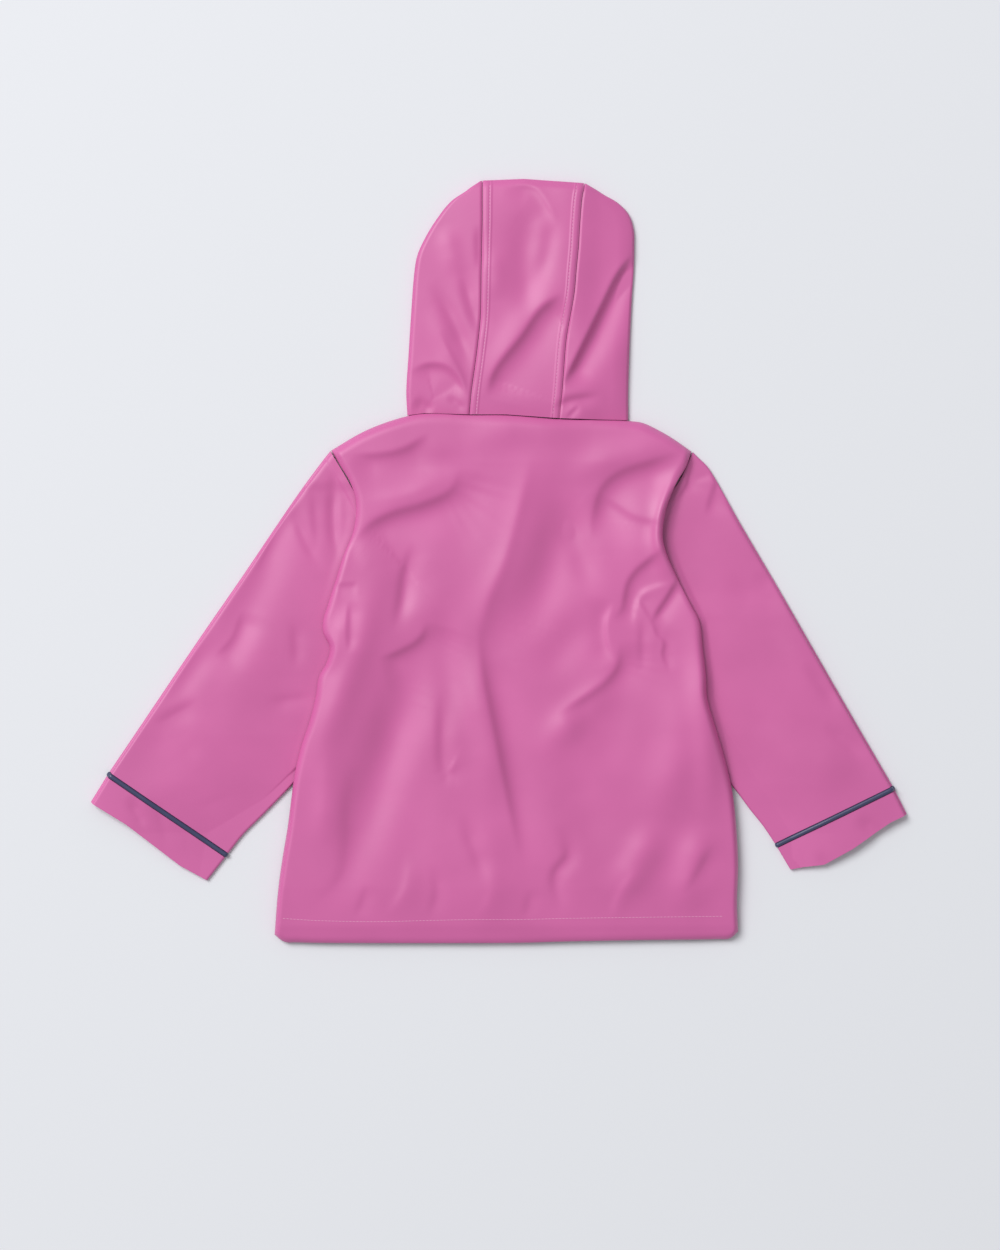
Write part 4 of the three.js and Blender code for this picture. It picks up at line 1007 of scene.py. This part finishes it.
def hood_side(name, rows, sign):
    """One side: across from its seam to the fold, round it, and back under to the face edge."""
    low, high = rows[0]["y"], rows[-1]["y"]
    v = stations(120, high - low, [0.5, 1.2, 2.5])
    y = low + (high - low) * v
    seam, outline, face = (smooth_column(rows, y, "y", key) for key in ("seam", "outline", "face"))
    start = seam + sign * SEAM_GAP / 2
    inset = np.minimum(FOLD_HEIGHT / 2, np.abs(outline - start) * 0.2)
    turn_in = outline - sign * inset
    t = np.linspace(0, 1, 60)
    across = t - CROWDED["hood"] * np.sin(2 * math.pi * t) / (2 * math.pi)
    top_x = start[:, None] + (turn_in - start)[:, None] * across
    angle = np.linspace(0, math.pi, 9)[1:-1]
    fold_x = turn_in[:, None] + sign * inset[:, None] * np.sin(angle)
    below = np.linspace(0, 1, 14)
    below_x = turn_in[:, None] + (face + sign * SEAM_GAP / 2 - turn_in)[:, None] * below
    x = np.concatenate([top_x, fold_x, below_x], axis=1)
    plan = from_neck(np.dstack([x, np.broadcast_to(y[:, None], x.shape)]), low)
    top = plan[:, : len(t)]
    z = np.concatenate([
        hood_height(top) - seam_line(np.abs(top_x - seam[:, None])),
        np.tile(FOLD_HEIGHT / 2 * (1 + np.cos(angle)), (len(y), 1)),
        np.zeros(below_x.shape),
    ], axis=1)
    grid = np.dstack([plan, z])
    piece = wall(name + "_cloth", grid, pink_cloth, turn=sign)
    print(name, "height in mm", z.max().round(1))
    return cloth_piece(piece, name)


hood_side("hood_side_left", HOOD_LEFT, -1)
hood_side("hood_side_right", HOOD_RIGHT, 1)

# %% The hood's centre strip
STRIP_WIDTH = 88
STRIP_LENGTH = 216
STITCH_INSET = 1.6  # of a stitch line, from its band's edge
band_low = HOOD_LEFT[0]["y"]


def strip_edges(y):
    """The strip's two seams at heights on the plan."""
    left = smooth_column(HOOD_LEFT, y, "y", "seam") + SEAM_GAP / 2
    right = smooth_column(HOOD_RIGHT, y, "y", "seam") - SEAM_GAP / 2
    return left, right


def strip_places(u, y):
    """Places across the strip for shares u at heights y, both as arrays of rows by columns."""
    left, right = strip_edges(y)
    return np.dstack([left * (1 - u) + right * u, y])


def band_relief(distance):
    """A stitched-down allowance: raised to its stitch line, with a groove there and at the seam."""
    raised = BAND_RISE * (1 - smoothstep(distance, SEAM_BAND - 0.8, SEAM_BAND + 0.8))
    groove = 0.45 * np.exp(-(((distance - SEAM_BAND + STITCH_INSET) / 0.8) ** 2))
    return raised - groove - seam_line(distance)


# %% The strip over the crown and back to the face edge
near = np.array([0, 0.5, 1.1, 1.8, 2.8, 4.2, 5.2, 5.8, 6.4, 7.0, 7.6, 8.2, 8.8, 9.6, 10.8]) / STRIP_WIDTH
strip_u = np.concatenate([near, np.linspace(near[-1], 1 - near[-1], 46)[1:-1], 1 - near[::-1]])
crown_left = strip_edges(np.array([float(HOOD_CROWN[0]["y"])]))[0]
crown_right = strip_edges(np.array([float(HOOD_CROWN[-1]["y"])]))[1]
crown_y = column(HOOD_CROWN, crown_left * (1 - strip_u) + crown_right * strip_u, "x", "y")
strip_v = stations(125, STRIP_LENGTH, [0.5, 1.2, 2.5])
over_y = band_low + (crown_y[None] - FOLD_HEIGHT / 2 - band_low) * strip_v[:, None]
over = from_neck(strip_places(np.broadcast_to(strip_u, over_y.shape), over_y), band_low)
from_seam = np.minimum(strip_u, 1 - strip_u) * STRIP_WIDTH
over_z = hood_height(over) + band_relief(from_seam)[None]
angle = np.linspace(0, math.pi, 11)[1:-1, None]
last = over[-1:]
turn_y = last[..., 1] + FOLD_HEIGHT / 2 * np.sin(angle)
turn_z = over_z[-1:] / 2 * (1 + np.cos(angle))
turn = np.dstack([np.broadcast_to(last[..., 0], turn_y.shape), turn_y])
below_y = last[..., 1] + (FACE_TOP - last[..., 1]) * np.linspace(0, 1, 16)[:, None]
below = strip_places(np.broadcast_to(strip_u, below_y.shape), below_y)
strip_grid = np.dstack([
    np.concatenate([over, turn, below]),
    np.concatenate([over_z, turn_z, np.zeros(below_y.shape)]),
])
hood_centre = wall("hood_centre_cloth", strip_grid, pink_cloth)
cloth_piece(hood_centre, "hood_centre")
print("hood strip height in mm", over_z.max().round(1))

# %% [markdown]
# Stitching
#
# The hem and the stitched-down allowances are held by a lockstitch in thread of the cloth's colour.
# Each stitch dents the cloth at its two ends and stands proud between them. A texture would lose
# that in a raking light, so each stitch is a small bead of mesh laid on the cloth, all in one object.

# %% Beads along a line
STITCH = {"pitch": 3.2, "length": 2.5, "width": 0.62, "height": 0.42}


def height_on(pieces, plan):
    """Height of the uppermost cloth face in mm at places on the plan, by rays from above."""
    trees = [BVHTree.FromObject(piece, bpy.context.evaluated_depsgraph_get()) for piece in pieces]
    found = np.zeros(len(plan))
    for i, (x, y) in enumerate(plan * MM):
        hits = [tree.ray_cast((x, y, 1), (0, 0, -1))[0] for tree in trees]
        found[i] = max([hit.z / MM for hit in hits if hit is not None], default=0)
    return found


def stitches(name, lines, pieces):
    """Joined beads, one a stitch: a circle of six carried along each stitch and closed to points."""
    starts = []
    ends = []
    for line in lines:
        fine = route(line, np.linspace(0, 1, 1500))
        length = np.linalg.norm(np.diff(fine, axis=0), axis=1).sum()
        count = int(length // STITCH["pitch"])
        at = (np.arange(count) + 0.5) * STITCH["pitch"] / length
        reach = STITCH["length"] / 2 / length
        starts.append(route(line, at - reach))
        ends.append(route(line, at + reach))
    start, end = np.concatenate(starts), np.concatenate(ends)
    start = np.column_stack([start, height_on(pieces, start)])
    end = np.column_stack([end, height_on(pieces, end)])
    ahead = np.array([0, 0.12, 0.32, 0.5, 0.68, 0.88, 1])
    full = np.array([0.05, 0.6, 0.95, 1, 0.95, 0.6, 0.05])
    angle = np.arange(6) * math.pi / 3
    axis = end - start
    side = np.cross(axis, [0, 0, 1.0])
    side /= np.linalg.norm(side, axis=1, keepdims=True)
    middle = start[:, None] + axis[:, None] * ahead[None, :, None]
    ring_side = side[:, None, None] * (np.cos(angle) * STITCH["width"] / 2)[None, None, :, None]
    places = middle[:, :, None] + ring_side * full[None, :, None, None]
    lift = np.sin(angle)[None, :] * full[:, None] * STITCH["height"] / 2 + 0.1 * full[:, None] - 0.05
    places[..., 2] += lift[None]
    count = len(start)
    r, c = np.meshgrid(np.arange(len(ahead) - 1), np.arange(6), indexing="ij")
    at = lambda r, c: r * 6 + c % 6
    quads = np.stack([at(r, c), at(r, c + 1), at(r + 1, c + 1), at(r + 1, c)], -1).reshape(-1, 4)
    faces = (quads[None] + (np.arange(count) * len(ahead) * 6)[:, None, None]).reshape(-1, 4)
    piece = finish_piece(name, places.reshape(-1, 3) * MM, faces, pink_thread)
    print(name, count, "stitches")
    return piece


# %% Lines of stitching
HEM_LINE = [
    (-198, -328), (-166, -330), (-113, -331), (-67, -330), (-21, -329), (20, -329), (62, -328),
    (131, -327), (208, -326),
]
stitches("hem_stitches", [HEM_LINE], [back])
STRIP_LINE_POINTS = 14
stitch_share = from_seam[np.argmin(np.abs(from_seam - (SEAM_BAND - STITCH_INSET)))] / STRIP_WIDTH
strip_lines = []
for u in (stitch_share, 1 - stitch_share):
    y = np.linspace(over_y[2].min(), over_y[-1].min(), STRIP_LINE_POINTS)
    places = strip_places(np.full((1, STRIP_LINE_POINTS), u), y[None])[0]
    strip_lines.append([tuple(place) for place in places])
stitches("hood_stitches", strip_lines, [hood_centre])

# %% [markdown]
# The press studs
#
# Five moulded studs close the front, between its two layers. They are plain discs of the solids, so
# they keep their shape and take a smooth plastic in the cloth's colour.

# %% Material of the studs
for number in range(1, 6):
    stud = bpy.data.objects[f"stud_{number}"]
    for place in stud.material_slots:
        place.material = pink_stud
    print(stud.name, len(stud.material_slots), "material slots")

# %% [markdown]
# Floor, light and camera
#
# The coat was photographed from straight above on a pale surface, in soft light from the upper
# left. One large area light there models the folds, and a pale sky keeps the shadows open. A sun
# would draw hard edges, and a ring of lights would flatten the cloth.

# %% Floor
FLOOR_HALF = 4.0
FLOOR_Z = -0.0004
FLOOR_GREY = (0.80, 0.81, 0.845, 1)
floor_mesh = bpy.data.meshes.new("floor")
corners = [(x * FLOOR_HALF, y * FLOOR_HALF, FLOOR_Z) for x, y in ((-1, -1), (1, -1), (1, 1), (-1, 1))]
floor_mesh.from_pydata(corners, [], [(0, 1, 2, 3)])
floor = bpy.data.objects.new("floor", floor_mesh)
bpy.context.scene.collection.objects.link(floor)
floor_paint, floor_nodes, _ = node_material("pale_floor")
floor_nodes["Principled BSDF"].inputs["Base Color"].default_value = FLOOR_GREY
floor_nodes["Principled BSDF"].inputs["Roughness"].default_value = 0.9
floor_nodes["Principled BSDF"].inputs["Specular IOR Level"].default_value = 0.1
floor_mesh.materials.append(floor_paint)
print("floor", 2 * FLOOR_HALF, "m wide")

# %% Lights
KEY_PLACE = (-4.6, 3.9, 7.2)
KEY_SIZE = 4.8
KEY_WATTS = 700
SKY_COLOUR = (0.97, 0.985, 1, 1)
SKY_STRENGTH = 0.42


def area_light(name, place, size, watts):
    """A square area light that looks at the middle of the coat."""
    lamp = bpy.data.lights.new(name, "AREA")
    lamp.size = size
    lamp.energy = watts
    made = bpy.data.objects.new(name, lamp)
    made.location = place
    made.rotation_euler = (-Vector(place)).to_track_quat("-Z", "Y").to_euler()
    bpy.context.scene.collection.objects.link(made)
    return made


area_light("key", KEY_PLACE, KEY_SIZE, KEY_WATTS)
world = bpy.data.worlds.new("sky")
world.use_nodes = True
world.node_tree.nodes["Background"].inputs["Color"].default_value = SKY_COLOUR
world.node_tree.nodes["Background"].inputs["Strength"].default_value = SKY_STRENGTH
bpy.context.scene.world = world
print("key light", KEY_WATTS, "W at", KEY_PLACE, "sky", SKY_STRENGTH)

# %% Camera
LENS = 85
SENSOR = 36
CAMERA_PLACE = (0.00115, -0.0593, 2.715)  # straight above, as far as the coat lies off the picture's middle
camera_lens = bpy.data.cameras.new("camera")
camera_lens.lens = LENS
camera_lens.sensor_width = SENSOR
camera = bpy.data.objects.new("camera", camera_lens)
camera.location = CAMERA_PLACE
bpy.context.scene.collection.objects.link(camera)
bpy.context.scene.camera = camera
bpy.context.scene.view_settings.view_transform = "Standard"
print("camera", CAMERA_PLACE, "lens", LENS)
